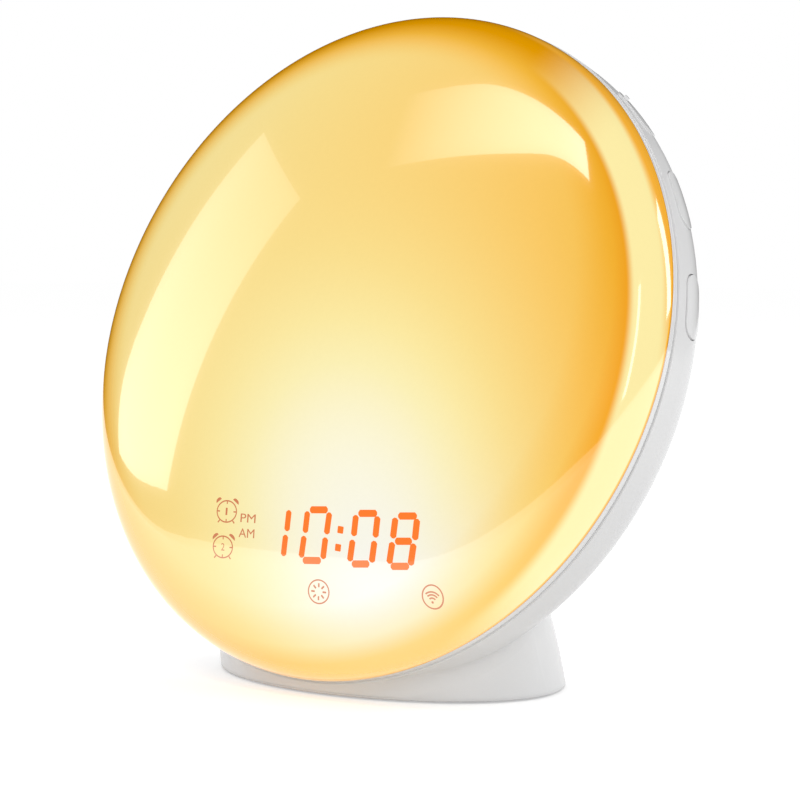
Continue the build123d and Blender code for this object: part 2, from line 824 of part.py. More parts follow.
button_names = ["lower", "middle", "upper"]
for side_name, mirrored in (("right", False), ("left", True)):
    for k, place in enumerate(button_names):
        rim = rim_plane(button_first + button_pitch * k, button_depth)
        with BuildPart() as button:
            with BuildSketch(rim.offset(button_core)):
                SlotOverall(button_length, button_width)
            extrude(amount=body_radius - button_core + 2 * button_proud)
            add(button_skin.part, mode=Mode.INTERSECT)
            with BuildSketch(rim.offset(button_core)):
                Rectangle(button_length + 2 * ear_reach, ear_width)
            extrude(amount=ear_thickness)
            with BuildSketch(rim.offset(plunger_end)):
                Circle(plunger_radius)
            extrude(amount=button_core - plunger_end)
            if place == "upper":
                with BuildSketch(rim.offset(button_core)):
                    with Locations((pip_offset, 0)):
                        Circle(pip_radius)
                extrude(amount=body_radius - button_core + button_proud + pip_rise)
            if mirrored:
                mirror(about=Plane.YZ, mode=Mode.REPLACE)
        button.part.label = f"button_{side_name}_{place}"
        export_step(button.part, f"parts/button_{side_name}_{place}.step")

        with BuildPart() as stem:
            with BuildSketch(rim.offset(plunger_end)):
                Circle(stem_radius)
            extrude(amount=-stem_length)
            if mirrored:
                mirror(about=Plane.YZ, mode=Mode.REPLACE)
        stem.part.label = f"switch_stem_{side_name}_{place}"
        export_step(stem.part, f"parts/switch_stem_{side_name}_{place}.step")

    with BuildPart() as switches:
        for k in range(3):
            rim = rim_plane(button_first + button_pitch * k, button_depth)
            with BuildSketch(rim.offset(switch_face)):
                with Locations((0, -board_depth + button_depth + switch_height / 2)):
                    Rectangle(switch_width, switch_height)
            extrude(amount=-switch_depth)
        for k in range(3):
            rim = rim_plane(button_first + button_pitch * k, button_depth)
            with BuildSketch(rim.offset(switch_face)):
                Circle(stem_radius + stem_fit)
            extrude(amount=-(stem_length - stem_reach + button_travel + stem_room), mode=Mode.SUBTRACT)
        if mirrored:
            mirror(about=Plane.YZ, mode=Mode.REPLACE)
    switches.part.label = f"tact_switches_{side_name}"
    export_step(switches.part, f"parts/tact_switches_{side_name}.step")

    with BuildPart() as button_board:
        with BuildSketch(face.offset(-board_depth - board_thickness)):
            with BuildLine():
                board_start = button_first - button_board_overrun
                board_sweep = 2 * (button_pitch + button_board_overrun)
                outer_arc = CenterArc((0, 0), button_board_outer, board_start, board_sweep)
                inner_arc = CenterArc((0, 0), button_board_inner, board_start, board_sweep)
                Line(inner_arc @ 0, outer_arc @ 0)
                Line(inner_arc @ 1, outer_arc @ 1)
            make_face()
            with Locations(*button_posts[:2]):
                Circle(small_screw_radius + small_clear, mode=Mode.SUBTRACT)
        extrude(amount=board_thickness)
        if mirrored:
            mirror(about=Plane.YZ, mode=Mode.REPLACE)
    button_board.part.label = f"button_board_{side_name}"
    export_step(button_board.part, f"parts/button_board_{side_name}.step")

# ---------------------------------------------------------------- Main board and what stands on it
with BuildPart() as main_board:
    with BuildSketch(face.offset(main_back)):
        with Locations((0, main_level)):
            RectangleRounded(main_width, main_height, 2.0)
        with Locations(*board_points):
            Circle(small_screw_radius + small_clear, mode=Mode.SUBTRACT)
    extrude(amount=main_thickness)
main_board.part.label = "main_board"
export_step(main_board.part, "parts/main_board.step")

with BuildPart() as wifi_module:
    with BuildSketch(face.offset(main_back)):
        with Locations((wifi_x, main_level + wifi_y)):
            Rectangle(wifi_width, wifi_height)
    extrude(amount=-wifi_board)
    with BuildSketch(face.offset(main_back - wifi_board)):
        with Locations((wifi_x + wifi_can_shift, main_level + wifi_y)):
            RectangleRounded(wifi_can_width, wifi_can_height, wifi_board)
    extrude(amount=-wifi_can_depth)
wifi_module.part.label = "wifi_module"
export_step(wifi_module.part, "parts/wifi_module.step")

with BuildPart() as chips:
    with BuildSketch(face.offset(main_back)):
        with Locations((processor_x, main_level + processor_y)):
            Rectangle(processor_size, processor_size)
        with Locations((amplifier_x, main_level + amplifier_y)):
            Rectangle(amplifier_width, amplifier_height)
        with Locations((regulator_x, main_level + regulator_y)):
            Rectangle(regulator_width, regulator_height)
    extrude(amount=-chip_depth)
chips.part.label = "chips"
export_step(chips.part, "parts/chips.step")

with BuildPart() as capacitors:
    with BuildSketch(face.offset(main_back)):
        for k in range(2):
            with Locations((capacitor_x + capacitor_step * k, main_level + capacitor_y)):
                Circle(capacitor_radius)
    extrude(amount=-capacitor_height)
capacitors.part.label = "capacitors"
export_step(capacitors.part, "parts/capacitors.step")

with BuildPart() as dc_jack:
    with BuildSketch(face.offset(main_back)):
        with Locations((0, jack_level)):
            Rectangle(jack_body_width, jack_body_height)
    extrude(amount=-(jack_recess_floor - wall + main_back))
    with BuildSketch(face.offset(-jack_recess_floor)):
        with Locations((0, jack_level)):
            Circle(jack_nose)
    extrude(amount=wall)
    with BuildSketch(face.offset(-jack_recess_floor)):
        with Locations((0, jack_level)):
            Circle(jack_radius)
            Circle(jack_pin_radius, mode=Mode.SUBTRACT)
    extrude(amount=jack_bore_depth, mode=Mode.SUBTRACT)
dc_jack.part.label = "dc_jack"
export_step(dc_jack.part, "parts/dc_jack.step")

with BuildPart() as board_headers:
    with BuildSketch(face.offset(main_front)):
        with Locations(*header_points):
            Rectangle(header_length, header_width)
    extrude(amount=main_gap + pan_floor)
board_headers.part.label = "board_headers"
export_step(board_headers.part, "parts/board_headers.step")

with BuildPart() as board_screws:
    # Heads behind the main board and behind the button boards' faces, and in front of the lamp board
    with BuildSketch(face.offset(main_back)):
        with Locations(*board_points):
            Circle(small_head_radius)
    extrude(amount=-small_head)
    with BuildSketch(face.offset(main_back)):
        with Locations(*board_points):
            Circle(small_screw_radius)
    extrude(amount=main_thickness + post_bite)
    with BuildSketch(face.offset(-board_depth)):
        with Locations(*button_posts):
            Circle(small_head_radius)
    extrude(amount=small_head)
    with BuildSketch(face.offset(-board_depth)):
        with Locations(*button_posts):
            Circle(small_screw_radius)
    extrude(amount=-(board_thickness + small_bite))
    with BuildSketch(face.offset(led_level)):
        with Locations(*led_screw_points):
            Circle(small_head_radius)
    extrude(amount=small_head)
    with BuildSketch(face.offset(led_level)):
        with Locations(*led_screw_points):
            Circle(small_screw_radius)
    extrude(amount=-(board_thickness + pan_floor))
board_screws.part.label = "board_screws"
export_step(board_screws.part, "parts/board_screws.step")

with BuildPart() as display_leds:
    spots = []
    for outline in all_bars:
        xs, ys = [p[0] for p in outline], [p[1] for p in outline]
        spots.append(((min(xs) + max(xs)) / 2, (min(ys) + max(ys)) / 2))
    with BuildSketch(face.offset(led_level)):
        with Locations(*(spots + dots + icons)):
            Rectangle(display_led, display_led)
    extrude(amount=display_led_height)
display_leds.part.label = "display_leds"
export_step(display_leds.part, "parts/display_leds.step")

# ---------------------------------------------------------------- Speaker behind the grille
basket_top = -speaker_seat + speaker_flange
basket_end = basket_top + basket_depth
speaker_axis_point = face.offset(-speaker_seat)


def speaker_cone_profile(outer, inner, low, high, thickness):
    """Half section of a conical shell on the speaker's own axis."""
    centre = face.from_local_coords((0, speaker_level, 0))
    with BuildSketch(Plane(origin=centre, x_dir=(1, 0, 0), z_dir=-face.y_dir)) as profile:
        with BuildLine():
            Polyline(
                (outer, low), (outer - thickness, low), (inner - thickness, high), (inner, high), close=True
            )
        make_face()
    return profile.sketch


speaker_line = Axis(face.from_local_coords((0, speaker_level, 0)), face.z_dir)

with BuildPart() as speaker_basket:
    with BuildSketch(face.offset(-speaker_seat)):
        with Locations((0, speaker_level)):
            Circle(speaker_radius)
            Circle(speaker_radius - speaker_wall, mode=Mode.SUBTRACT)
    extrude(amount=speaker_flange)
    revolve(
        speaker_cone_profile(
            speaker_radius - speaker_wall + basket_sheet,
            magnet_radius + basket_sheet,
            -speaker_seat,
            basket_end,
            basket_sheet,
        ),
        axis=speaker_line,
    )
    with BuildSketch(face.offset(basket_end)):
        with Locations((0, speaker_level)):
            Circle(magnet_radius + basket_sheet)
    extrude(amount=basket_sheet)
speaker_basket.part.label = "speaker_basket"
export_step(speaker_basket.part, "parts/speaker_basket.step")

with BuildPart() as speaker_magnet:
    with BuildSketch(face.offset(basket_end + basket_sheet)):
        with Locations((0, speaker_level)):
            Circle(magnet_radius)
    extrude(amount=magnet_depth)
    chamfer(speaker_magnet.edges().filter_by(GeomType.CIRCLE), magnet_chamfer)
speaker_magnet.part.label = "speaker_magnet"
export_step(speaker_magnet.part, "parts/speaker_magnet.step")

with BuildPart() as speaker_cone:
    revolve(
        speaker_cone_profile(
            speaker_radius - speaker_wall, cone_eye, -speaker_seat, basket_end - cone_travel, cone_sheet
        ),
        axis=speaker_line,
    )
    with BuildSketch(face.offset(basket_end - cone_travel)):
        with Locations((0, speaker_level)):
            Circle(cone_eye)
    extrude(amount=-cone_sheet)
    with BuildSketch(face.offset(basket_end)):
        with Locations((0, speaker_level)):
            Circle(voice_coil)
    extrude(amount=-cone_travel)
speaker_cone.part.label = "speaker_cone"
export_step(speaker_cone.part, "parts/speaker_cone.step")
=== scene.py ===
"""Sunrise alarm clock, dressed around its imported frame. Metres, +Z up, the face towards -Y."""
import math

import bmesh
import bpy
from mathutils import Matrix, Quaternion, Vector


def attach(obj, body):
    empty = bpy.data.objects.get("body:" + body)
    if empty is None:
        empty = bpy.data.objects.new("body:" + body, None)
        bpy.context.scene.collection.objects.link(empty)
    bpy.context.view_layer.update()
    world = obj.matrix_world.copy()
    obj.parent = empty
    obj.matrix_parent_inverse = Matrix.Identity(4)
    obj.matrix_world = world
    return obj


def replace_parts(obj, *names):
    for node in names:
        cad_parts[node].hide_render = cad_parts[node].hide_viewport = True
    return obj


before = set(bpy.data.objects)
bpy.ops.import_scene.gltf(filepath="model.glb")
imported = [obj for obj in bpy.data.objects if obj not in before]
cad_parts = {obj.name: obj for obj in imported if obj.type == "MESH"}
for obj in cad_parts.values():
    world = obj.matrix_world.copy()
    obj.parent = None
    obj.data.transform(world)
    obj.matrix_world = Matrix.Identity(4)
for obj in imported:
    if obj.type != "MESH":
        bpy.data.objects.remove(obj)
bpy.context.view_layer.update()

# -------------------- View and studio
# The clock stands on a white floor in a white room, seen from its right and a little above its middle.
# A tall soft box stands on its left, strips on its right and behind it, and a long box hangs in front.
# The key light comes from over the camera and leaves no mirror image.
camera_place = (0.370548, -0.474503, 0.105015)
camera_azimuth = math.radians(37.565)
camera_elevation = math.radians(3.429)
camera_lens = 110.216
camera_film = 36.0
camera = bpy.data.objects.new("camera", bpy.data.cameras.new("camera"))
camera.data.lens = camera_lens
camera.data.sensor_width = camera_film
camera.data.clip_start = 0.01
camera.data.clip_end = 20.0
camera.location = camera_place
camera.rotation_euler = (math.pi / 2 - camera_elevation, 0, camera_azimuth)
bpy.context.scene.collection.objects.link(camera)
bpy.context.scene.camera = camera
bpy.context.scene.view_settings.view_transform = "Standard"


def seen_directly(tree):
    """One where a surface is looked at, mirrored or seen through glass, and nought for its soft light."""
    path = tree.nodes.new("ShaderNodeLightPath")
    seen = tree.nodes.new("ShaderNodeMath")
    seen.operation = "MAXIMUM"
    tree.links.new(path.outputs["Is Camera Ray"], seen.inputs[0])
    tree.links.new(path.outputs["Is Glossy Ray"], seen.inputs[1])
    either = tree.nodes.new("ShaderNodeMath")
    either.operation = "MAXIMUM"
    tree.links.new(seen.outputs[0], either.inputs[0])
    tree.links.new(path.outputs["Is Transmission Ray"], either.inputs[1])
    return either.outputs[0]


room_light = 0.70
room_white = 1.0
world = bpy.data.worlds.new("white_room")
world.use_nodes = True
bpy.context.scene.world = world
room = world.node_tree
room_level = room.nodes.new("ShaderNodeMix")
room_level.inputs["A"].default_value = room_light
room_level.inputs["B"].default_value = room_white
room.links.new(seen_directly(room), room_level.inputs["Factor"])
room.nodes["Background"].inputs["Color"].default_value = (1, 1, 1, 1)
room.links.new(room_level.outputs["Result"], room.nodes["Background"].inputs["Strength"])


box_distance = 1.5
box_aim = Vector((0, 0, 0.09))


def soft_box(name, azimuth, elevation, width, height, radiance, roll=0, fade=None, fade_axis=0):
    """A rectangular lamp that faces the clock from an azimuth and elevation; it may fade along a side."""
    light = bpy.data.lights.new(name, "AREA")
    light.shape = "RECTANGLE"
    light.size = width
    light.size_y = height
    light.energy = radiance * math.pi * width * height
    if fade:
        light.use_nodes = True
        tree = light.node_tree
        along = tree.nodes.new("ShaderNodeNewGeometry")
        split = tree.nodes.new("ShaderNodeSeparateXYZ")
        ramp = tree.nodes.new("ShaderNodeMapRange")
        ramp.inputs["To Min"].default_value = fade[0]
        ramp.inputs["To Max"].default_value = fade[1]
        tree.links.new(along.outputs["Parametric"], split.inputs[0])
        tree.links.new(split.outputs[fade_axis], ramp.inputs["Value"])
        tree.links.new(ramp.outputs["Result"], tree.nodes["Emission"].inputs["Strength"])
    box = bpy.data.objects.new(name, light)
    a = math.radians(azimuth)
    e = math.radians(elevation)
    outwards = Vector((math.sin(a) * math.cos(e), -math.cos(a) * math.cos(e), math.sin(e)))
    box.location = box_aim + outwards * box_distance
    turn = Quaternion(outwards, math.radians(roll))
    box.rotation_euler = (turn @ outwards.to_track_quat("Z", "Y")).to_euler()
    box.visible_camera = False
    bpy.context.scene.collection.objects.link(box)
    return box


soft_box(
    "left_soft_box", azimuth=-70.5, elevation=19, width=0.45, height=0.94, radiance=2.5,
    fade=(1.0, 0.3), fade_axis=1,
)
soft_box(
    "front_soft_box", azimuth=-29, elevation=58.5, width=0.95, height=0.29, radiance=6.5,
    roll=24, fade=(0.0, 1.0),
)
soft_box("right_strip", azimuth=66, elevation=20, width=0.12, height=0.8, radiance=4.0)
soft_box("back_strip", azimuth=138, elevation=20, width=0.3, height=0.7, radiance=5.0)
key = soft_box("key_soft_box", azimuth=38, elevation=14, width=0.5, height=0.3, radiance=3.4)
key.visible_glossy = False


def staged(name, corners, faces, colour, glow):
    """A plain painted surface of the studio, that shows brighter than it shines."""
    mesh = bpy.data.meshes.new(name)
    mesh.from_pydata(corners, [], faces)
    surface = bpy.data.objects.new(name, mesh)
    bpy.context.scene.collection.objects.link(surface)
    paint = bpy.data.materials.new(name + "_paint")
    paint.use_nodes = True
    tree = paint.node_tree
    shader = tree.nodes["Principled BSDF"]
    shader.inputs["Base Color"].default_value = (*colour, 1)
    shader.inputs["Roughness"].default_value = 0.9
    shader.inputs["Specular IOR Level"].default_value = 0.0
    shader.inputs["Emission Color"].default_value = (1, 1, 1, 1)
    level = tree.nodes.new("ShaderNodeMath")
    level.operation = "MULTIPLY"
    level.inputs[1].default_value = glow
    tree.links.new(seen_directly(tree), level.inputs[0])
    tree.links.new(level.outputs[0], shader.inputs["Emission Strength"])
    mesh.materials.append(paint)
    return surface


floor_half = 6.0
floor_grey = (0.78, 0.78, 0.78)
floor_glow = 0.45
floor_signs = [(-1, -1), (1, -1), (1, 1), (-1, 1)]
floor_corners = [(floor_half * x, floor_half * y, 0) for x, y in floor_signs]
staged("floor", floor_corners, [(0, 1, 2, 3)], floor_grey, floor_glow)

# -------------------- Dark curtain
# Black cloth round the studio and over it, which shows only as a mirror image in the glossy plastic.
# In front of the face its hem hangs clear of the floor, and leaves the pale horizon that the dome mirrors.
curtain_radius = 3.5
curtain_height = 4.0
curtain_steps = 5
curtain_hem = [
    (-140, 0.0), (-50, 0.0), (-21, 0.06), (0, 0.16),
    (30, 0.16), (60, 0.05), (112, 0.0), (220, 0.0),
]
curtain_corners = [(0, 0, curtain_height)]
for (this, low), (following, next_low) in zip(curtain_hem, curtain_hem[1:]):
    for k in range(curtain_steps + 1):
        share = k / curtain_steps
        a = math.radians(this + (following - this) * share)
        x = curtain_radius * math.sin(a)
        y = -curtain_radius * math.cos(a)
        curtain_corners += [(x, y, low + (next_low - low) * share), (x, y, curtain_height)]
curtain_faces = []
for k in range(len(curtain_corners) // 2 - 1):
    low = 1 + 2 * k
    curtain_faces += [(low, low + 2, low + 3, low + 1), (0, low + 1, low + 3)]
curtain = staged("dark_curtain", curtain_corners, curtain_faces, (0.0, 0.0, 0.0), 0.0)
curtain.visible_camera = False
curtain.visible_diffuse = False
curtain.visible_shadow = False

# -------------------- Diffuser dome
# Milky acrylic dome moulded with a high gloss, lit amber from inside: palest low down, deepest on its right.
# It is turned here about the face axis, which leans back; its skirt sits in the front ring.
# Near its edge the glow holds painted shade, a painted highlight and a painted dark reflection.
MM = 0.001
lean = math.radians(18.5)
dome_radius = 84.0 * MM
dome_rise = 24.0 * MM
dome_edge = 12.0 * MM
face_centre = Vector((0, -3.9153, 83.4593)) * MM
face_place = Matrix(
    (
        (1, 0, 0, face_centre.x),
        (0, math.sin(lean), -math.cos(lean), face_centre.y),
        (0, math.cos(lean), math.sin(lean), face_centre.z),
        (0, 0, 0, 1),
    )
)
dome_crown = ((dome_radius - dome_edge) ** 2 + dome_rise**2 - dome_edge**2) / (2 * (dome_rise - dome_edge))
edge_reach = 80.0 * MM
crown_reach = 64.0 * MM
edge_share = (edge_reach - dome_radius + dome_edge) / dome_edge


def dome_slope(radius):
    """Slope of the dome where its crown turns smoothly into its round edge, at a distance from the axis."""
    along = (radius - crown_reach) / (edge_reach - crown_reach)
    crown = math.asin(crown_reach / dome_crown)
    edge = math.asin(edge_share)
    crown_turn = 0.07
    edge_turn = 1.25
    blend = along * along * (3 - 2 * along)
    slope = crown + (edge - crown) * blend
    slope += crown_turn * along * (1 - along) ** 2 + edge_turn * along * along * (along - 1)
    return slope


# Half of the dome's section from its rim to its middle: the round edge, the blend, and the crown
dome_line = []
edge_steps = 16
for k in range(edge_steps + 1):
    a = k / edge_steps * math.acos(edge_share)
    dome_line.append((dome_radius - dome_edge + dome_edge * math.cos(a), dome_edge * math.sin(a)))
blend_steps = 32
step = (edge_reach - crown_reach) / blend_steps
for k in range(blend_steps):
    radius, height = dome_line[-1]
    dome_line.append((radius - step, height + step * math.tan(dome_slope(radius - step / 2))))
crown_steps = 40
crown_base = dome_line[-1][1] - math.sqrt(dome_crown**2 - crown_reach**2)
for k in range(1, crown_steps + 1):
    radius = crown_reach * (1 - k / crown_steps)
    dome_line.append((radius, crown_base + math.sqrt(dome_crown**2 - radius**2)))


def dome_height(radius):
    """Height of the dome's outside over the plane of its rim, at a distance from its axis."""
    for (outer, low), (inner, high) in zip(dome_line, dome_line[1:]):
        if radius >= inner:
            return low + (high - low) * (outer - radius) / (outer - inner)
    return dome_line[-1][1]


def new_piece(name, mesh, place=Matrix()):
    """Links a mesh as a piece of the clock's body, in its place."""
    piece = bpy.data.objects.new(name, mesh)
    piece.matrix_world = place
    bpy.context.scene.collection.objects.link(piece)
    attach(piece, "body")
    return piece


def turned(name, profile, steps):
    """A mesh turned about its own Z from a closed profile of (radius, height) pairs."""
    shape = bmesh.new()
    rings = []
    for k in range(steps):
        a = 2 * math.pi * k / steps
        rings.append([shape.verts.new((r * math.cos(a), r * math.sin(a), h)) for r, h in profile])
    for k in range(steps):
        this, following = rings[k], rings[(k + 1) % steps]
        for i in range(len(profile)):
            j = (i + 1) % len(profile)
            shape.faces.new((this[i], following[i], following[j], this[j]))
    bmesh.ops.remove_doubles(shape, verts=shape.verts, dist=1e-7)
    bmesh.ops.dissolve_degenerate(shape, edges=shape.edges, dist=1e-8)
    bmesh.ops.recalc_face_normals(shape, faces=shape.faces)
    mesh = bpy.data.meshes.new(name)
    shape.to_mesh(mesh)
    shape.free()
    return mesh


def smooth(mesh, sharp_angle):
    """Smooth shading, but for the edges that turn by more than an angle."""
    shape = bmesh.new()
    shape.from_mesh(mesh)
    for face in shape.faces:
        face.smooth = True
    for edge in shape.edges:
        edge.smooth = edge.calc_face_angle(0) < math.radians(sharp_angle)
    shape.to_mesh(mesh)
    shape.free()


# The dome's wall, its flange that rests on the ring, and its skirt inside the ring
dome_wall = 2.2 * MM
flange_inner = 77.4 * MM
flange_thickness = 1.8 * MM
flange_step = 2.0 * MM
skirt_outer = 80.5 * MM
skirt_inner = 79.0 * MM
skirt_depth = 3.0 * MM
inner_line = []
for (r, h), (r_next, h_next) in zip(dome_line, dome_line[1:]):
    run, climb = r - r_next, h_next - h
    inwards = dome_wall / math.hypot(run, climb)
    inner_line.append((max(0, r - climb * inwards), h - run * inwards))
inner_line.append((0, dome_line[-1][1] - dome_wall))
dome_outline = (
    dome_line
    + [(r, h) for r, h in inner_line[::-1] if h > flange_thickness]
    + [(flange_inner + flange_step, flange_thickness), (flange_inner, flange_thickness), (flange_inner, 0)]
    + [(skirt_inner, 0), (skirt_inner, -skirt_depth), (skirt_outer, -skirt_depth), (skirt_outer, 0)]
)
dome_mesh = turned("diffuser_dome_skin", dome_outline, 384)
smooth(dome_mesh, 30)
dome_mesh.transform(face_place)
dome = new_piece("diffuser_dome_skin", dome_mesh)
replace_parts(dome, "diffuser_dome")


def node_material(name):
    """An empty node material with its Principled shader linked to the output."""
    material = bpy.data.materials.new(name)
    material.use_nodes = True
    tree = material.node_tree
    return material, tree, tree.nodes["Principled BSDF"]


def feed(tree, socket, value):
    """Sets a socket to a number or colour, or links another socket to it."""
    if isinstance(value, bpy.types.NodeSocket):
        tree.links.new(value, socket)
    else:
        socket.default_value = value


def math_node(tree, operation, *values):
    """A Math node with each input either a socket or a number; gives its output."""
    node = tree.nodes.new("ShaderNodeMath")
    node.operation = operation
    for socket, value in zip(node.inputs, values):
        feed(tree, socket, value)
    return node.outputs[0]


def ramp_node(tree, factor, stops):
    """A colour ramp over a factor, from (place, colour) stops."""
    node = tree.nodes.new("ShaderNodeValToRGB")
    tree.links.new(factor, node.inputs[0])
    elements = node.color_ramp.elements
    while len(elements) < len(stops):
        elements.new(0.5)
    for element, (place, colour) in zip(elements, stops):
        element.position = place
        element.color = (*colour, 1)
    return node.outputs[0]


def mix_colour(tree, blend, factor, a, b):
    """A colour Mix node; the factor and both colours are sockets or plain values."""
    node = tree.nodes.new("ShaderNodeMix")
    node.data_type = "RGBA"
    node.blend_type = blend
    feed(tree, node.inputs["Factor"], factor)
    feed(tree, node.inputs["A"], a)
    feed(tree, node.inputs["B"], b)
    return node.outputs["Result"]


def smooth_step(tree, value, start, end):
    """Nought before a start, one after an end, and a smooth rise between them."""
    node = tree.nodes.new("ShaderNodeMapRange")
    node.interpolation_type = "SMOOTHSTEP"
    tree.links.new(value, node.inputs["Value"])
    node.inputs["From Min"].default_value = start
    node.inputs["From Max"].default_value = end
    return node.outputs["Result"]


def face_distance(tree, coordinates, centre):
    """Distance on the face from a point of it."""
    split = tree.nodes.new("ShaderNodeSeparateXYZ")
    tree.links.new(coordinates, split.inputs[0])
    aside = math_node(tree, "SUBTRACT", split.outputs[0], centre[0])
    above = math_node(tree, "SUBTRACT", split.outputs[1], centre[1])
    squared = math_node(tree, "MULTIPLY_ADD", aside, aside, math_node(tree, "MULTIPLY", above, above))
    return math_node(tree, "SQRT", squared)


def soft_spot(tree, coordinates, centre, spread):
    """One at a point of the face, and a soft fall-off round it."""
    away = math_node(tree, "DIVIDE", face_distance(tree, coordinates, centre), spread)
    squared = math_node(tree, "MULTIPLY", away, away)
    return math_node(tree, "EXPONENT", math_node(tree, "MULTIPLY", squared, -0.5))


# The glow: its level over the face is a plain slope with a soft bright spot low down
glow_centre = (25 * MM, -46 * MM)
glow_spread = 40 * MM
glow_level = 0.512
glow_rise = 0.42
glow_across = -0.161
glow_up = 0.12
# Painted shade at the rim: darker at the top and left of the edge, a little paler at the lower right
rim_shading_start = 0.81
rim_shading_end = 0.976
rim_shading_level = -0.147
rim_shading_across = 0.174
rim_shading_up = -0.175
glow_stops = [
    (0.34, (0.70, 0.34, 0.00)),
    (0.44, (0.80, 0.45, 0.05)),
    (0.51, (0.85, 0.53, 0.12)),
    (0.64, (0.86, 0.67, 0.25)),
    (0.70, (0.87, 0.74, 0.33)),
    (0.75, (0.87, 0.79, 0.42)),
    (0.84, (0.88, 0.86, 0.66)),
]
low_glow_centre = (29 * MM, -66 * MM)
low_glow_spread = 19 * MM
low_glow_share = 0.85
low_glow = (0.82, 0.84, 0.86, 1)
# Painted shade: a deeper amber on the round edge, most on the low right, and a thin dark orange line over the
# ring
least_edge_shade = 0.35
low_edge_shade_shift = -0.025
low_edge_shade_up = (-0.3, -0.9)
low_right_tilt = -0.6
low_right_reach = (-0.1, 0.6)
edge_shade_stops = [
    (0.80, (1, 1, 1)),
    (0.90, (1, 0.88, 0.6)),
    (0.945, (0.98, 0.68, 0.2)),
    (0.99, (1, 0.6, 0.08)),
]
# The thin dark orange line of painted shade along the dome's foot over the ring
edge_line = 1.0 * MM
edge_line_solid = 0.6 * edge_line
edge_line_reach = 2.4 * edge_line
edge_line_shade_stops = [(0.0, (0.45, 0.2, 0.02)), (0.18, (0.9, 0.42, 0.03)), (0.42, (0.98, 0.52, 0.04))]
# Painted highlight: a pale band on the right of the round edge. Painted dark reflection: amber bordering it
# further up
painted_side_highlight = (0.88, 0.77, 0.36, 1)
painted_side_highlight_across = (0.45, 0.78)
painted_side_highlight_radial = (0.935, 0.955)
painted_side_highlight_tilt = 0.05
painted_dark_reflection = (0.86, 0.42, 0.04, 1)
painted_dark_reflection_up = (-0.15, 0.1)
painted_dark_reflection_across = (0.2, 0.5)
painted_dark_reflection_radial = (0.994, 1.006)
painted_dark_reflection_tilt = 0.02


def lit_acrylic(tree):
    """Colour of the lit dome: the lamps' glow, painted shade at its edge, a painted highlight and a painted
    dark reflection.
    """
    onto_face = tree.nodes.new("ShaderNodeMapping")
    onto_face.vector_type = "TEXTURE"
    onto_face.inputs["Location"].default_value = face_centre
    onto_face.inputs["Rotation"].default_value = face_place.to_euler()
    tree.links.new(tree.nodes.new("ShaderNodeTexCoord").outputs["Object"], onto_face.inputs["Vector"])
    coordinates = onto_face.outputs["Vector"]
    split = tree.nodes.new("ShaderNodeSeparateXYZ")
    tree.links.new(coordinates, split.inputs[0])
    across = math_node(tree, "DIVIDE", split.outputs[0], dome_radius)
    up = math_node(tree, "DIVIDE", split.outputs[1], dome_radius)
    above_rim = split.outputs[2]
    radial = math_node(tree, "DIVIDE", face_distance(tree, coordinates, (0, 0)), dome_radius)

    near = soft_spot(tree, coordinates, glow_centre, glow_spread)
    level = math_node(tree, "MULTIPLY_ADD", near, glow_rise, glow_level)
    level = math_node(tree, "MULTIPLY_ADD", across, glow_across, level)
    level = math_node(tree, "MULTIPLY_ADD", up, glow_up, level)
    # Painted rim shade, darkest at the upper left of the edge
    painted_rim_shading = math_node(tree, "MULTIPLY_ADD", up, rim_shading_up, rim_shading_level)
    painted_rim_shading = math_node(tree, "MULTIPLY_ADD", across, rim_shading_across, painted_rim_shading)
    level = math_node(tree, "MULTIPLY_ADD", smooth_step(tree, radial, rim_shading_start, rim_shading_end), painted_rim_shading, level)
    glow = ramp_node(tree, level, glow_stops)
    below = soft_spot(tree, coordinates, low_glow_centre, low_glow_spread)
    glow = mix_colour(tree, "MIX", math_node(tree, "MULTIPLY", below, low_glow_share), glow, low_glow)

    # Painted shade of the round edge: a deeper amber, most on the low right
    low_right = math_node(tree, "MULTIPLY_ADD", up, low_right_tilt, across)
    low_right = smooth_step(tree, low_right, *low_right_reach)
    edge_shade_share = math_node(tree, "MULTIPLY_ADD", low_right, 1 - least_edge_shade, least_edge_shade)
    lowest_part = smooth_step(tree, up, *low_edge_shade_up)
    edge_shade_place = math_node(tree, "MULTIPLY_ADD", lowest_part, low_edge_shade_shift, radial)
    lit = mix_colour(tree, "MULTIPLY", edge_shade_share, glow, ramp_node(tree, edge_shade_place, edge_shade_stops))

    # Painted highlight: a pale band on the right of the round edge
    side_highlight_mask = smooth_step(tree, math_node(tree, "MULTIPLY_ADD", up, painted_side_highlight_tilt, radial), *painted_side_highlight_radial)
    side_highlight_mask = math_node(tree, "MULTIPLY", smooth_step(tree, across, *painted_side_highlight_across), side_highlight_mask)
    lit = mix_colour(tree, "MIX", side_highlight_mask, lit, painted_side_highlight)
    # Painted dark reflection: deeper amber on the outermost edge at the upper right
    outermost = math_node(tree, "MULTIPLY_ADD", up, painted_dark_reflection_tilt, radial)
    outermost = smooth_step(tree, outermost, *painted_dark_reflection_radial)
    raised = smooth_step(tree, up, *painted_dark_reflection_up)
    dark_reflection_place = math_node(tree, "MULTIPLY", raised, smooth_step(tree, across, *painted_dark_reflection_across))
    lit = mix_colour(tree, "MIX", math_node(tree, "MULTIPLY", outermost, dark_reflection_place), lit, painted_dark_reflection)

    # Painted shade: the thin dark orange line over the ring
    line_place = math_node(tree, "DIVIDE", above_rim, edge_line_reach)
    beyond = smooth_step(tree, above_rim, edge_line_solid, edge_line)
    edge_line_shade_share = math_node(tree, "SUBTRACT", 1.0, beyond)
    return mix_colour(tree, "MIX", edge_line_shade_share, lit, ramp_node(tree, line_place, edge_line_shade_stops))


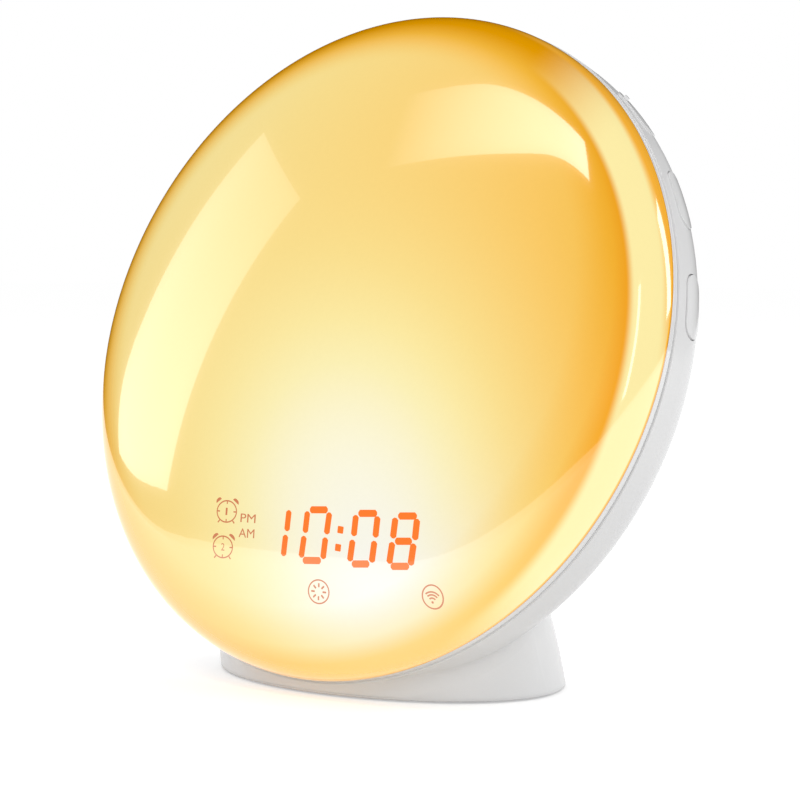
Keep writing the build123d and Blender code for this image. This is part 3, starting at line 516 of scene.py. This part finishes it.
dome_material, dome_tree, dome_shader = node_material("lit_milky_acrylic")
lit_colour = lit_acrylic(dome_tree)
haze = dome_tree.nodes.new("ShaderNodeTexNoise")
haze.inputs["Scale"].default_value = 900
haze.inputs["Detail"].default_value = 3
dome_tree.links.new(dome_tree.nodes.new("ShaderNodeTexCoord").outputs["Object"], haze.inputs["Vector"])
milk = math_node(dome_tree, "MULTIPLY_ADD", haze.outputs["Fac"], 0.03, 0.985)
# Base colour: a dim painted copy of the glow, with its painted highlight, shade and dark reflection
painted_glow_base = mix_colour(dome_tree, "MULTIPLY", 1.0, lit_colour, (0.22, 0.2, 0.18, 1))
milky_colour = mix_colour(dome_tree, "MULTIPLY", 1.0, lit_colour, milk)
dome_tree.links.new(painted_glow_base, dome_shader.inputs["Base Color"])
dome_tree.links.new(milky_colour, dome_shader.inputs["Emission Color"])


def lit_gloss(shader):
    """The polished coat of the dome and of what shines through it, and their light."""
    shader.inputs["Emission Strength"].default_value = 1.0
    shader.inputs["Roughness"].default_value = 0.12
    shader.inputs["IOR"].default_value = 1.5
    shader.inputs["Coat Weight"].default_value = 1.0
    shader.inputs["Coat Roughness"].default_value = 0.02
    shader.inputs["Coat IOR"].default_value = 1.6


lit_gloss(dome_shader)
dome_mesh.materials.append(dome_material)

# -------------------- Clock display
# Light segments of the clock and its marks, which shine through the lower part of the dome in orange.
# Each is a thin film on the dome's skin: bars with bevelled ends, rings, rays, arcs and small letters.
film_proud = 0.03 * MM
film_depth = 0.1 * MM
mark_line = 0.32


def add_film(shape, line, closed=False):
    """A thin closed strip on the dome between pairs of points, each (x, up) in millimetres on the face."""
    rows = []
    for pair in line:
        row = []
        for lift in (film_proud, -film_depth):
            for x, up in pair:
                height = dome_height(math.hypot(x, up) * MM) + lift
                row.append(shape.verts.new((x * MM, up * MM, height)))
        rows.append(row)
    count = len(rows)
    for k in range(count if closed else count - 1):
        this, following = rows[k], rows[(k + 1) % count]
        for a, b in ((0, 1), (1, 3), (3, 2), (2, 0)):
            shape.faces.new((this[a], this[b], following[b], following[a]))
    if not closed:
        for row in (rows[0], rows[-1]):
            shape.faces.new((row[0], row[1], row[3], row[2]))


def add_bar(shape, start, end, width, bevel=0.45, blunt=0.35):
    """A bar between the middles of its ends, which are bevelled over a length to a share of its width."""
    along = Vector(end) - Vector(start)
    length = along.length
    along.normalize()
    side = Vector((-along.y, along.x)) * width / 2
    thirds = [(length / 3, 1), (length * 2 / 3, 1)]
    line = []
    for place, share in [(0, blunt), (bevel, 1), *thirds, (length - bevel, 1), (length, blunt)]:
        middle = Vector(start) + along * place
        line.append((tuple(middle + side * share), tuple(middle - side * share)))
    add_film(shape, line)


def add_arc(shape, centre, radius, stretch, start, end, width, steps=40):
    """A line along an arc of an ellipse, from one angle to another in degrees; a full turn closes it."""
    closed = abs(end - start) >= 360
    line = []
    for k in range(steps if closed else steps + 1):
        a = math.radians(start + (end - start) * k / steps)
        pair = []
        for side in (width / 2, -width / 2):
            x = centre[0] + (radius + side) * math.cos(a)
            up = centre[1] + (radius * stretch + side) * math.sin(a)
            pair.append((x, up))
        line.append(pair)
    add_film(shape, line, closed)


def add_ring(shape, centre, radius, stretch):
    """The thin ring round a mark."""
    add_arc(shape, centre, radius, stretch, 0, 360, mark_line)


def add_half_moon(shape, left, right, bulge):
    """A filled half-moon over a straight line between two points."""
    left = Vector(left)
    right = Vector(right)
    across = (right - left).normalized()
    upwards = Vector((-across.y, across.x))
    tip = 0.02
    steps = 10
    line = []
    for k in range(steps + 1):
        t = k / steps
        base = left.lerp(right, t)
        top = base + upwards * (tip + bulge * math.sqrt(max(0, 1 - (2 * t - 1) ** 2)))
        line.append((tuple(top), tuple(base)))
    add_film(shape, line)


def film_piece(name, shape, material):
    """A piece of the display from its strips, on the dome."""
    bmesh.ops.recalc_face_normals(shape, faces=shape.faces)
    mesh = bpy.data.meshes.new(name)
    shape.to_mesh(mesh)
    shape.free()
    mesh.materials.append(material)
    new_piece(name, mesh, face_place)


def display_light(name, colour):
    """Light of the display in the dome's skin, mottled a little by the milk, under the same gloss."""
    material, tree, shader = node_material(name)
    mottle = tree.nodes.new("ShaderNodeTexNoise")
    mottle.inputs["Scale"].default_value = 1400
    tree.links.new(tree.nodes.new("ShaderNodeTexCoord").outputs["Object"], mottle.inputs["Vector"])
    level = math_node(tree, "MULTIPLY_ADD", mottle.outputs["Fac"], 0.10, 0.95)
    lit = mix_colour(tree, "MULTIPLY", 1.0, (*colour, 1), level)
    tree.links.new(lit, shader.inputs["Emission Color"])
    # The base colour is a dim painted copy of the display's light
    tree.links.new(mix_colour(tree, "MULTIPLY", 1.0, lit, (0.2, 0.2, 0.2, 1)), shader.inputs["Base Color"])
    lit_gloss(shader)
    return material


digit_light = display_light("orange_digit_light", (0.97, 0.195, 0.03))
mark_light = display_light("dim_orange_mark_light", (0.60, 0.21, 0.10))

# The time: each bar from the middle of one end to the other, and the two dots between the digits
bar_width = 1.62
digit_bars = [
    # one
    ((2.03, -47.29), (1.77, -52.10)), ((1.50, -52.97), (1.10, -57.83)),
    # nought
    ((8.20, -46.78), (13.34, -46.41)), ((7.55, -47.17), (7.25, -52.10)),
    ((7.04, -52.82), (6.45, -57.77)), ((13.88, -46.96), (13.45, -51.94)),
    ((13.22, -52.68), (12.80, -57.56)), ((6.96, -58.34), (12.24, -57.97)),
    # nought
    ((21.89, -46.52), (26.92, -46.08)), ((21.29, -46.95), (21.05, -51.70)),
    ((20.84, -52.55), (20.33, -57.41)), ((27.11, -46.71), (26.88, -51.48)),
    ((26.72, -52.25), (26.26, -57.11)), ((20.91, -57.94), (25.66, -57.48)),
    # eight
    ((32.45, -46.15), (37.24, -45.67)), ((31.81, -46.59), (31.50, -51.23)),
    ((31.43, -52.06), (30.89, -56.89)), ((32.07, -51.80), (36.43, -51.35)),
    ((37.34, -46.29), (37.15, -51.03)), ((36.90, -51.81), (36.38, -56.68)),
    ((31.29, -57.42), (36.03, -56.91)),
]
digits = bmesh.new()
for start, end in digit_bars:
    add_bar(digits, start, end, bar_width)
dot_lean = 0.05
for x, up in ((17.29, -50.61), (16.89, -54.65)):
    top = (x + dot_lean, up + bar_width / 2)
    foot = (x - dot_lean, up - bar_width / 2)
    add_bar(digits, top, foot, bar_width, bevel=0.15, blunt=0.8)
film_piece("lit_digits", digits, digit_light)

# The two alarm marks: a round clock face with four ticks, its two bells and its feet
alarm_radius = 3.3
alarm_stretch = 0.76
tick_start = 3.2
tick_end = 2.3
bell_bulge = 0.75
foot_line = 0.35
heel_aside = 2.2
heel_below = 2.1
toe_aside = 0.6
toe_below = 0.55
first_bells = (((-21.60, -46.84), (-19.89, -45.76)), ((-16.02, -45.82), (-14.11, -46.97)))
second_bells = (((-22.13, -55.41), (-20.14, -54.09)), ((-16.67, -54.09), (-14.62, -55.37)))
for number, centre, bells in (
    ("first", (-17.90, -48.66), first_bells),
    ("second", (-18.55, -56.97), second_bells),
):
    alarm = bmesh.new()
    add_ring(alarm, centre, alarm_radius, alarm_stretch)
    for degrees in (0, 90, 180, 270):
        c = math.cos(math.radians(degrees))
        s = math.sin(math.radians(degrees)) * alarm_stretch
        start = (centre[0] + tick_start * c, centre[1] + tick_start * s)
        end = (centre[0] + tick_end * c, centre[1] + tick_end * s)
        add_bar(alarm, start, end, mark_line, bevel=0.05, blunt=1)
    for left, right in bells:
        add_half_moon(alarm, left, right, bell_bulge)
    for way in (-1, 1):
        heel = (centre[0] + heel_aside * way, centre[1] - heel_below)
        toe = (heel[0] + toe_aside * way, heel[1] - toe_below)
        add_bar(alarm, heel, toe, foot_line, bevel=0.05, blunt=1)
    film_piece("alarm_mark_" + number, alarm, mark_light)

# The sun mark: eight rays in a ring
sun_centre = (11.89, -64.96)
sun_radius = 2.95
sun_stretch = 0.89
ray_start = 1.1
ray_end = 2.15
ray_width = 0.42
sun = bmesh.new()
add_ring(sun, sun_centre, sun_radius, sun_stretch)
for k in range(8):
    c = math.cos(math.radians(45 * k))
    s = math.sin(math.radians(45 * k)) * sun_stretch
    start = (sun_centre[0] + ray_start * c, sun_centre[1] + ray_start * s)
    end = (sun_centre[0] + ray_end * c, sun_centre[1] + ray_end * s)
    add_bar(sun, start, end, ray_width, bevel=0.1, blunt=0.6)
film_piece("sun_mark", sun, mark_light)

# The signal mark: three arcs over a dot, in a ring
signal_centre = (41.92, -62.81)
signal_radius = 2.45
signal_stretch = 1.02
arc_centre = (41.85, -64.07)
arc_width = 0.34
dot_top = (41.85, -63.75)
dot_foot = (41.85, -64.25)
dot_width = 0.5
signal = bmesh.new()
add_ring(signal, signal_centre, signal_radius, signal_stretch)
for radius in (0.97, 1.649, 2.2795):
    add_arc(signal, arc_centre, radius, 1.0, 46, 134, arc_width, steps=14)
add_bar(signal, dot_top, dot_foot, dot_width, bevel=0.12, blunt=0.5)
film_piece("signal_mark", signal, mark_light)


def letters(name, text, place, height, width):
    """Small lettering of the display, cut from the plain built-in face and laid on the dome."""
    curve = bpy.data.curves.new(name + "_curve", "FONT")
    curve.body = text
    curve.extrude = 0.5
    source = bpy.data.objects.new(name + "_curve", curve)
    mesh = bpy.data.meshes.new_from_object(source)
    xs = [v.co.x for v in mesh.vertices]
    ys = [v.co.y for v in mesh.vertices]
    left = min(xs)
    low = min(ys)
    across = width / (max(xs) - left)
    up = height / (max(ys) - low)
    for v in mesh.vertices:
        x = (place[0] + (v.co.x - left) * across) * MM
        y = (place[1] + (v.co.y - low) * up) * MM
        lift = film_proud if v.co.z > 0 else -film_depth
        v.co = (x, y, dome_height(math.hypot(x, y)) + lift)
    bpy.data.objects.remove(source)
    mesh.materials.clear()
    mesh.materials.append(mark_light)
    new_piece(name, mesh, face_place)


letters("afternoon_letters", "PM", (-13.1, -50.9), height=2.0, width=4.9)
letters("morning_letters", "AM", (-13.4, -54.4), height=2.05, width=5.1)
letters("first_alarm_numeral", "1", (-18.25, -49.51), height=1.7, width=0.6)
letters("second_alarm_numeral", "2", (-19.1, -57.81), height=1.7, width=1.15)

# -------------------- Front ring
# Bright white ring between the dome and the housing, moulded in ABS with a high polish.
# Its tongue sits in the housing, and the dome's skirt sits in it; the flow of its moulding shows faintly.
def shader_group(name, inputs, outputs):
    """A node group with number inputs, (name, value), and named number outputs; gives both ends too."""
    group = bpy.data.node_groups.new(name, "ShaderNodeTree")
    for label, value in inputs:
        socket = group.interface.new_socket(name=label, in_out="INPUT", socket_type="NodeSocketFloat")
        socket.default_value = value
    for label in outputs:
        group.interface.new_socket(name=label, in_out="OUTPUT", socket_type="NodeSocketFloat")
    return group, group.nodes.new("NodeGroupInput").outputs, group.nodes.new("NodeGroupOutput").inputs


def noise_node(tree, scale, detail, stretch=None):
    """Noise over the piece's own coordinates, in points to the metre; it may be drawn out along an axis."""
    place = tree.nodes.new("ShaderNodeTexCoord").outputs["Object"]
    if stretch:
        drawn = tree.nodes.new("ShaderNodeVectorMath")
        drawn.operation = "MULTIPLY"
        drawn.inputs[1].default_value = stretch
        tree.links.new(place, drawn.inputs[0])
        place = drawn.outputs[0]
    noise = tree.nodes.new("ShaderNodeTexNoise")
    noise.inputs["Detail"].default_value = detail
    feed(tree, noise.inputs["Scale"], scale)
    tree.links.new(place, noise.inputs["Vector"])
    return noise.outputs["Fac"]


# Moulded skin: fine grain of the tool, slow flow of the plastic under it, and the gloss that both give
moulded_skin, skin_in, skin_out = shader_group(
    "moulded_skin",
    [("Grain Scale", 2500), ("Flow Scale", 30), ("Roughness", 0.3), ("Roughness Spread", 0.06)],
    ["Height", "Shade", "Roughness"],
)
grain = noise_node(moulded_skin, skin_in["Grain Scale"], 2)
flow = noise_node(moulded_skin, skin_in["Flow Scale"], 3)
moulded_skin.links.new(math_node(moulded_skin, "MULTIPLY_ADD", flow, 0.25, grain), skin_out["Height"])
grain_shade = math_node(moulded_skin, "MULTIPLY", grain, 0.4)
moulded_skin.links.new(math_node(moulded_skin, "MULTIPLY_ADD", flow, 0.6, grain_shade), skin_out["Shade"])
uneven = math_node(moulded_skin, "SUBTRACT", flow, 0.5)
gloss = math_node(moulded_skin, "MULTIPLY_ADD", uneven, skin_in["Roughness Spread"], skin_in["Roughness"])
moulded_skin.links.new(gloss, skin_out["Roughness"])


def placed_group(tree, group, values):
    """A shared group placed in a material with its own values; gives its outputs."""
    node = tree.nodes.new("ShaderNodeGroup")
    node.node_tree = group
    for label, value in values.items():
        feed(tree, node.inputs[label], value)
    return node.outputs


def bump(tree, shader, height, depth):
    """Feeds a height to a shader's normal, as deep as a distance in metres."""
    node = tree.nodes.new("ShaderNodeBump")
    node.inputs["Distance"].default_value = depth
    tree.links.new(height, node.inputs["Height"])
    tree.links.new(node.outputs["Normal"], shader.inputs["Normal"])


def moulded_plastic(name, light, dark, roughness, spread, grain_scale, depth, coat=0.0):
    """Moulded plastic between two close shades, with the grain of its tool; it may have a polished coat."""
    material, tree, shader = node_material(name)
    own_values = {"Grain Scale": grain_scale, "Roughness": roughness, "Roughness Spread": spread}
    skin = placed_group(tree, moulded_skin, own_values)
    shades = ramp_node(tree, skin["Shade"], [(0.3, dark), (0.7, light)])
    tree.links.new(shades, shader.inputs["Base Color"])
    tree.links.new(skin["Roughness"], shader.inputs["Roughness"])
    bump(tree, shader, skin["Height"], depth)
    shader.inputs["IOR"].default_value = 1.52
    shader.inputs["Coat Weight"].default_value = coat
    shader.inputs["Coat Roughness"].default_value = 0.03
    return material


def finish(material, *names):
    """Gives CAD pieces that stay their material."""
    for name in names:
        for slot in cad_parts[name].material_slots:
            slot.material = material


polished_white = moulded_plastic(
    "polished_white_ring", light=(0.93, 0.93, 0.93), dark=(0.90, 0.90, 0.905),
    roughness=0.16, spread=0.04, grain_scale=900, depth=0.4e-6, coat=0.6,
)
finish(polished_white, "front_ring")

# -------------------- Rear housing
# White ABS shell and foot in one moulding, in a fine satin that stays even round its wide curves.
# Its back has the speaker grille, the inlet's recess and four deep pockets, whose screws hold the pan inside.
satin_white = moulded_plastic(
    "satin_white_shell", light=(0.88, 0.88, 0.88), dark=(0.85, 0.85, 0.855),
    roughness=0.24, spread=0.06, grain_scale=2600, depth=1.2e-6,
)
finish(satin_white, "rear_housing")

# -------------------- Rim buttons
# Six white press buttons with rounded ends, three on each side of the rim, moulded smooth in ABS.
# Each bears on the black nylon stem of its tact switch, which moves in with it.
button_sides = ("left", "right")
button_places = ("lower", "middle", "upper")
button_names = ["button_%s_%s" % (side, place) for side in button_sides for place in button_places]
stem_names = ["switch_stem_%s_%s" % (side, place) for side in button_sides for place in button_places]
smooth_white = moulded_plastic(
    "smooth_white_buttons", light=(0.95, 0.95, 0.95), dark=(0.92, 0.92, 0.925),
    roughness=0.20, spread=0.05, grain_scale=1500, depth=0.5e-6, coat=0.3,
)
finish(smooth_white, *button_names)
black_nylon = moulded_plastic(
    "black_nylon_stems", light=(0.05, 0.05, 0.05), dark=(0.03, 0.03, 0.03),
    roughness=0.45, spread=0.1, grain_scale=3000, depth=2e-6,
)
finish(black_nylon, *stem_names)

# -------------------- Base plate and cell door
# White ABS plate with a fine spark-eroded texture, which closes the foot from below, and its cell door.
# Four screws hold the plate to the foot, and a small one holds the door.
matt_white = moulded_plastic(
    "matt_white_base", light=(0.84, 0.84, 0.84), dark=(0.79, 0.79, 0.79),
    roughness=0.55, spread=0.1, grain_scale=1800, depth=6e-6,
)
finish(matt_white, "base_plate", "battery_door")

# -------------------- Rubber feet
# Four soft round pads of grey rubber, punched from sheet and glued in shallow seats under the plate.
# They are dull, with a bloom of fine dust.
rubber, rubber_tree, rubber_shader = node_material("grey_rubber_pads")
bloom = noise_node(rubber_tree, 700, 4)
rubber_tree.links.new(
    ramp_node(rubber_tree, bloom, [(0.35, (0.055, 0.055, 0.058)), (0.75, (0.10, 0.10, 0.105))]),
    rubber_shader.inputs["Base Color"],
)
dullness = math_node(rubber_tree, "MULTIPLY_ADD", bloom, 0.2, 0.65)
rubber_tree.links.new(dullness, rubber_shader.inputs["Roughness"])
bump(rubber_tree, rubber_shader, bloom, 15e-6)
finish(rubber, "rubber_feet")

# -------------------- Screws
# Zinc-plated steel screws with rolled threads and cross recesses: pan heads in the base and in the
# deep pockets of the back, a small flush one in the cell door, and short ones in the boards inside.

# Worked metal: streaks left by the tool and the plating's cloud, for the colour, the height and the gloss
worked_metal, metal_in, metal_out = shader_group(
    "worked_metal",
    [("Streak Scale", 600), ("Roughness", 0.3), ("Roughness Spread", 0.2)],
    ["Height", "Shade", "Roughness"],
)
streak = noise_node(worked_metal, metal_in["Streak Scale"], 3, stretch=(1, 1, 8))
cloud = noise_node(worked_metal, 220, 3)
worked_metal.links.new(streak, metal_out["Height"])
cloud_shade = math_node(worked_metal, "MULTIPLY", cloud, 0.5)
metal_shade = math_node(worked_metal, "MULTIPLY_ADD", streak, 0.5, cloud_shade)
worked_metal.links.new(metal_shade, metal_out["Shade"])
patchy = math_node(worked_metal, "SUBTRACT", cloud, 0.5)
brushed = math_node(
    worked_metal, "MULTIPLY_ADD", patchy, metal_in["Roughness Spread"], metal_in["Roughness"]
)
worked_metal.links.new(brushed, metal_out["Roughness"])


def metal(name, light, dark, roughness, streak_scale, depth):
    """Bare or plated metal between two shades, with its streaks."""
    material, tree, shader = node_material(name)
    worked = placed_group(tree, worked_metal, {"Streak Scale": streak_scale, "Roughness": roughness})
    shades = ramp_node(tree, worked["Shade"], [(0.3, dark), (0.7, light)])
    tree.links.new(shades, shader.inputs["Base Color"])
    tree.links.new(worked["Roughness"], shader.inputs["Roughness"])
    bump(tree, shader, worked["Height"], depth)
    shader.inputs["Metallic"].default_value = 1.0
    return material


plated_steel = metal(
    "zinc_plated_screws", light=(0.66, 0.66, 0.68), dark=(0.48, 0.48, 0.50),
    roughness=0.32, streak_scale=900, depth=3e-6,
)
finish(plated_steel, "board_screws")


def cross_blades(name, top, recess):
    """Two crossed blades that taper downwards, to cut a driver's recess in a head of a top height."""
    blade_length = 2 * recess
    blade_width = 0.38 * recess
    blade_depth = 1.3 * recess
    tip_share = 0.35
    off_facet = 0.5
    cutter = bmesh.new()
    for turn in (0, 90):
        blade = bmesh.ops.create_cube(cutter, size=1)["verts"]
        for v in blade:
            taper = 1.0 if v.co.z > 0 else tip_share
            v.co = Vector((v.co.x * blade_length * taper, v.co.y * blade_width, top + v.co.z * blade_depth))
        blade_turn = Matrix.Rotation(math.radians(turn + off_facet), 3, "Z")
        bmesh.ops.rotate(cutter, verts=blade, matrix=blade_turn)
    mesh = bpy.data.meshes.new(name)
    cutter.to_mesh(mesh)
    cutter.free()
    return mesh


def screw_mesh(name, head, rise, shank, length, recess):
    """A screw, its head's flat underside at Z 0 and its top at a rise above; the shank points down."""
    if head > shank:
        rounding = 8
        side_share = 0.45
        crown = []
        for k in range(rounding):
            a = math.pi / 2 * k / rounding
            crown.append((head * math.cos(a), rise * (side_share + (1 - side_share) * math.sin(a))))
        profile = [(0, rise)] + crown[::-1] + [(head, 0)]
    else:
        profile = [(0, rise), (shank, rise), (shank, 0)]
    pitch = 0.7 * MM
    thread = 0.22 * MM
    plain_tip = 0.8 * MM
    tip_share = 0.45
    for k in range(int((length - plain_tip) / pitch)):
        profile += [(shank, -pitch * (k + 0.3)), (shank - thread, -pitch * (k + 0.8))]
    profile += [(shank * tip_share, -length), (0, -length)]
    blank = bpy.data.objects.new(name + "_blank", turned(name, profile, 48))
    bpy.context.scene.collection.objects.link(blank)
    cross = bpy.data.objects.new(name + "_cross", cross_blades(name + "_cross", rise, recess))
    bpy.context.scene.collection.objects.link(cross)
    cut = blank.modifiers.new("recess", "BOOLEAN")
    cut.operation = "DIFFERENCE"
    cut.solver = "EXACT"
    cut.use_self = True
    cut.object = cross
    cut_blank = blank.evaluated_get(bpy.context.evaluated_depsgraph_get())
    finished = bpy.data.meshes.new_from_object(cut_blank)
    bpy.data.objects.remove(blank)
    bpy.data.objects.remove(cross)
    finished.name = name
    finished.materials.clear()
    finished.materials.append(plated_steel)
    smooth(finished, 28)
    return finished


turned_over = Matrix.Rotation(math.pi, 4, "X")
pan_head = {"head": 3.0 * MM, "rise": 2.0 * MM, "shank": 1.5 * MM, "recess": 1.5 * MM}

base_screw = screw_mesh("base_screw", length=6.8 * MM, **pan_head)
base_seat = 2.6
base_places = ((-38.5, 2.9847), (38.5, 2.9847), (-17.0, 25.4847), (17.0, 25.4847))
for number, (x, y) in enumerate(base_places, 1):
    place = Matrix.Translation(Vector((x, y, base_seat)) * MM) @ turned_over
    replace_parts(new_piece("base_screw_%d" % number, base_screw, place), "base_screws")

housing_screw = screw_mesh("housing_screw", length=6.9 * MM, **pan_head)
pocket_floor = -12.5
pocket_places = ((-57.38, -17.54), (57.38, -17.54), (42.43, 42.43), (-42.43, 42.43))
for number, (x, up) in enumerate(pocket_places, 1):
    place = face_place @ Matrix.Translation(Vector((x, up, pocket_floor)) * MM) @ turned_over
    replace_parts(new_piece("housing_screw_%d" % number, housing_screw, place), "housing_screws")

door_screw = screw_mesh(
    "cell_door_screw", head=1.0 * MM, rise=0.5 * MM, shank=1.0 * MM, length=2.8 * MM, recess=0.55 * MM
)
door_seat = (0, 17.2847, 0.9)
door_place = Matrix.Translation(Vector(door_seat) * MM) @ turned_over
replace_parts(new_piece("cell_door_screw", door_screw, door_place), "battery_door_screw")

# -------------------- Cell and its holder
# Lithium coin cell in bright nickel-plated steel, which keeps the time while the lamp is unplugged.
# It goes up through the door's opening into a round black cup; the other black mouldings share its plastic.
nickel = metal(
    "bright_nickel_cell", light=(0.82, 0.81, 0.79), dark=(0.70, 0.69, 0.67),
    roughness=0.18, streak_scale=500, depth=1e-6,
)
finish(nickel, "coin_cell")
black_plastic = moulded_plastic(
    "matt_black_mouldings", light=(0.03, 0.03, 0.032), dark=(0.018, 0.018, 0.02),
    roughness=0.5, spread=0.1, grain_scale=2200, depth=4e-6,
)
finish(black_plastic, "battery_holder", "display_hood", "dc_jack", "board_headers")

# -------------------- Inlet pin
# Nickel-plated sleeve over the inlet's centre pin, deep in the black socket on the back.
# It is turned from rod, with a small bore and a rounded nose.
sleeve_bore = 0.45
sleeve_outside = 1.04
sleeve_line = [(sleeve_bore, -22.0), (sleeve_outside, -22.0), (sleeve_outside, -29.2), (0.98, -29.45)]
sleeve_line += [(0.85, -29.6), (0.6, -29.6), (sleeve_bore, -29.4)]
sleeve_mesh = turned("inlet_sleeve", [(r * MM, h * MM) for r, h in sleeve_line], 48)
smooth(sleeve_mesh, 40)
sleeve_mesh.materials.append(nickel)
inlet_up = -18.0
sleeve_place = face_place @ Matrix.Translation(Vector((0, inlet_up, 0)) * MM)
new_piece("inlet_sleeve", sleeve_mesh, sleeve_place)

# -------------------- Reflector and lamp board
# Bright matt white pan moulded in ABS, which throws the light of the lamps forwards into the dome.
# The white printed board in it carries rings of small lamps under yellow phosphor.
reflector_white = moulded_plastic(
    "matt_reflector_white", light=(0.93, 0.93, 0.92), dark=(0.90, 0.90, 0.89),
    roughness=0.6, spread=0.1, grain_scale=1500, depth=4e-6,
)
finish(reflector_white, "reflector_pan")

# Printed board: its solder mask over copper runs that stand a little proud and show through it
printed_board, board_in, board_out = shader_group("printed_board", [("Run Scale", 260)], ["Runs", "Height"])
cells = printed_board.nodes.new("ShaderNodeTexVoronoi")
cells.feature = "F1"
cells.distance = "MANHATTAN"
printed_board.links.new(board_in["Run Scale"], cells.inputs["Scale"])
board_place = printed_board.nodes.new("ShaderNodeTexCoord").outputs["Object"]
printed_board.links.new(board_place, cells.inputs["Vector"])
ladder = math_node(printed_board, "MULTIPLY", cells.outputs["Distance"], 3.0)
ladder = math_node(printed_board, "FRACT", ladder)
runs = math_node(printed_board, "GREATER_THAN", ladder, 0.6)
printed_board.links.new(runs, board_out["Runs"])
printed_board.links.new(runs, board_out["Height"])


def board(name, mask, over_copper):
    """A printed board with its mask's colour, and that colour over copper."""
    material, tree, shader = node_material(name)
    printed = placed_group(tree, printed_board, {})
    colour = mix_colour(tree, "MIX", printed["Runs"], (*mask, 1), (*over_copper, 1))
    tree.links.new(colour, shader.inputs["Base Color"])
    tree.links.new(math_node(tree, "MULTIPLY_ADD", printed["Runs"], -0.1, 0.4), shader.inputs["Roughness"])
    bump(tree, shader, printed["Height"], 20e-6)
    return material


white_board = board("white_lamp_board", mask=(0.86, 0.86, 0.84), over_copper=(0.80, 0.80, 0.77))
finish(white_board, "led_board")
phosphor, phosphor_tree, phosphor_shader = node_material("phosphor_lamps")
specks = noise_node(phosphor_tree, 9000, 2)
phosphor_colour = ramp_node(phosphor_tree, specks, [(0.3, (0.90, 0.60, 0.10)), (0.7, (0.98, 0.74, 0.20))])
phosphor_tree.links.new(phosphor_colour, phosphor_shader.inputs["Base Color"])
phosphor_tree.links.new(phosphor_colour, phosphor_shader.inputs["Emission Color"])
phosphor_shader.inputs["Emission Strength"].default_value = 1.0
bump(phosphor_tree, phosphor_shader, specks, 10e-6)
finish(phosphor, "leds", "display_leds")

# -------------------- Display block
# Milky acrylic light guides, one for each segment of the clock and for each mark, over their own lamps.
# They sit in the front of a black hood, close under the dome, which keeps each segment's light to itself.
milky = moulded_plastic(
    "milky_light_guides", light=(0.93, 0.91, 0.88), dark=(0.88, 0.86, 0.83),
    roughness=0.35, spread=0.08, grain_scale=3000, depth=2e-6,
)
finish(milky, "display_segments")

# -------------------- Boards and what they carry
# Green glass-fibre boards with copper runs under their solder mask: the main one is screwed to posts behind
# the pan, two to posts of the housing behind the buttons, and the display's lies in the pan. They carry chips
# and tact switches moulded in epoxy, capacitors in shrunk sleeves and a tinned radio can.
green_board = board("green_printed_boards", mask=(0.012, 0.085, 0.035), over_copper=(0.03, 0.15, 0.06))
finish(green_board, "display_board", "main_board", "button_board_left", "button_board_right")
epoxy = moulded_plastic(
    "moulded_epoxy_chips", light=(0.035, 0.035, 0.038), dark=(0.022, 0.022, 0.024),
    roughness=0.55, spread=0.1, grain_scale=5000, depth=6e-6,
)
finish(epoxy, "chips", "tact_switches_left", "tact_switches_right")
sleeving = moulded_plastic(
    "shrunk_sleeves", light=(0.03, 0.04, 0.10), dark=(0.02, 0.025, 0.07),
    roughness=0.25, spread=0.1, grain_scale=1200, depth=4e-6,
)
finish(sleeving, "capacitors")
tinned = metal(
    "tinned_radio_can", light=(0.74, 0.74, 0.72), dark=(0.60, 0.60, 0.58),
    roughness=0.35, streak_scale=400, depth=5e-6,
)
finish(tinned, "wifi_module")

# -------------------- Speaker
# Basket of pressed steel in black paint, sintered ferrite magnet, and a cone of pressed black paper.
# The speaker faces backwards and sits close behind the housing's grille.
basket, basket_tree, basket_shader = node_material("black_painted_steel")
peel = noise_node(basket_tree, 1500, 2)
basket_tree.links.new(
    ramp_node(basket_tree, peel, [(0.3, (0.012, 0.012, 0.013)), (0.7, (0.022, 0.022, 0.024))]),
    basket_shader.inputs["Base Color"],
)
paint_gloss = math_node(basket_tree, "MULTIPLY_ADD", peel, 0.15, 0.3)
basket_tree.links.new(paint_gloss, basket_shader.inputs["Roughness"])
bump(basket_tree, basket_shader, peel, 8e-6)
finish(basket, "speaker_basket")
ferrite = moulded_plastic(
    "sintered_ferrite", light=(0.075, 0.073, 0.075), dark=(0.045, 0.044, 0.046),
    roughness=0.6, spread=0.15, grain_scale=2500, depth=20e-6,
)
finish(ferrite, "speaker_magnet")
paper, paper_tree, paper_shader = node_material("pressed_paper_cone")
fibre = noise_node(paper_tree, 2200, 4, stretch=(1, 3, 1))
paper_tree.links.new(
    ramp_node(paper_tree, fibre, [(0.3, (0.012, 0.012, 0.012)), (0.75, (0.035, 0.034, 0.033))]),
    paper_shader.inputs["Base Color"],
)
paper_shader.inputs["Roughness"].default_value = 0.9
bump(paper_tree, paper_shader, fibre, 40e-6)
finish(paper, "speaker_cone")
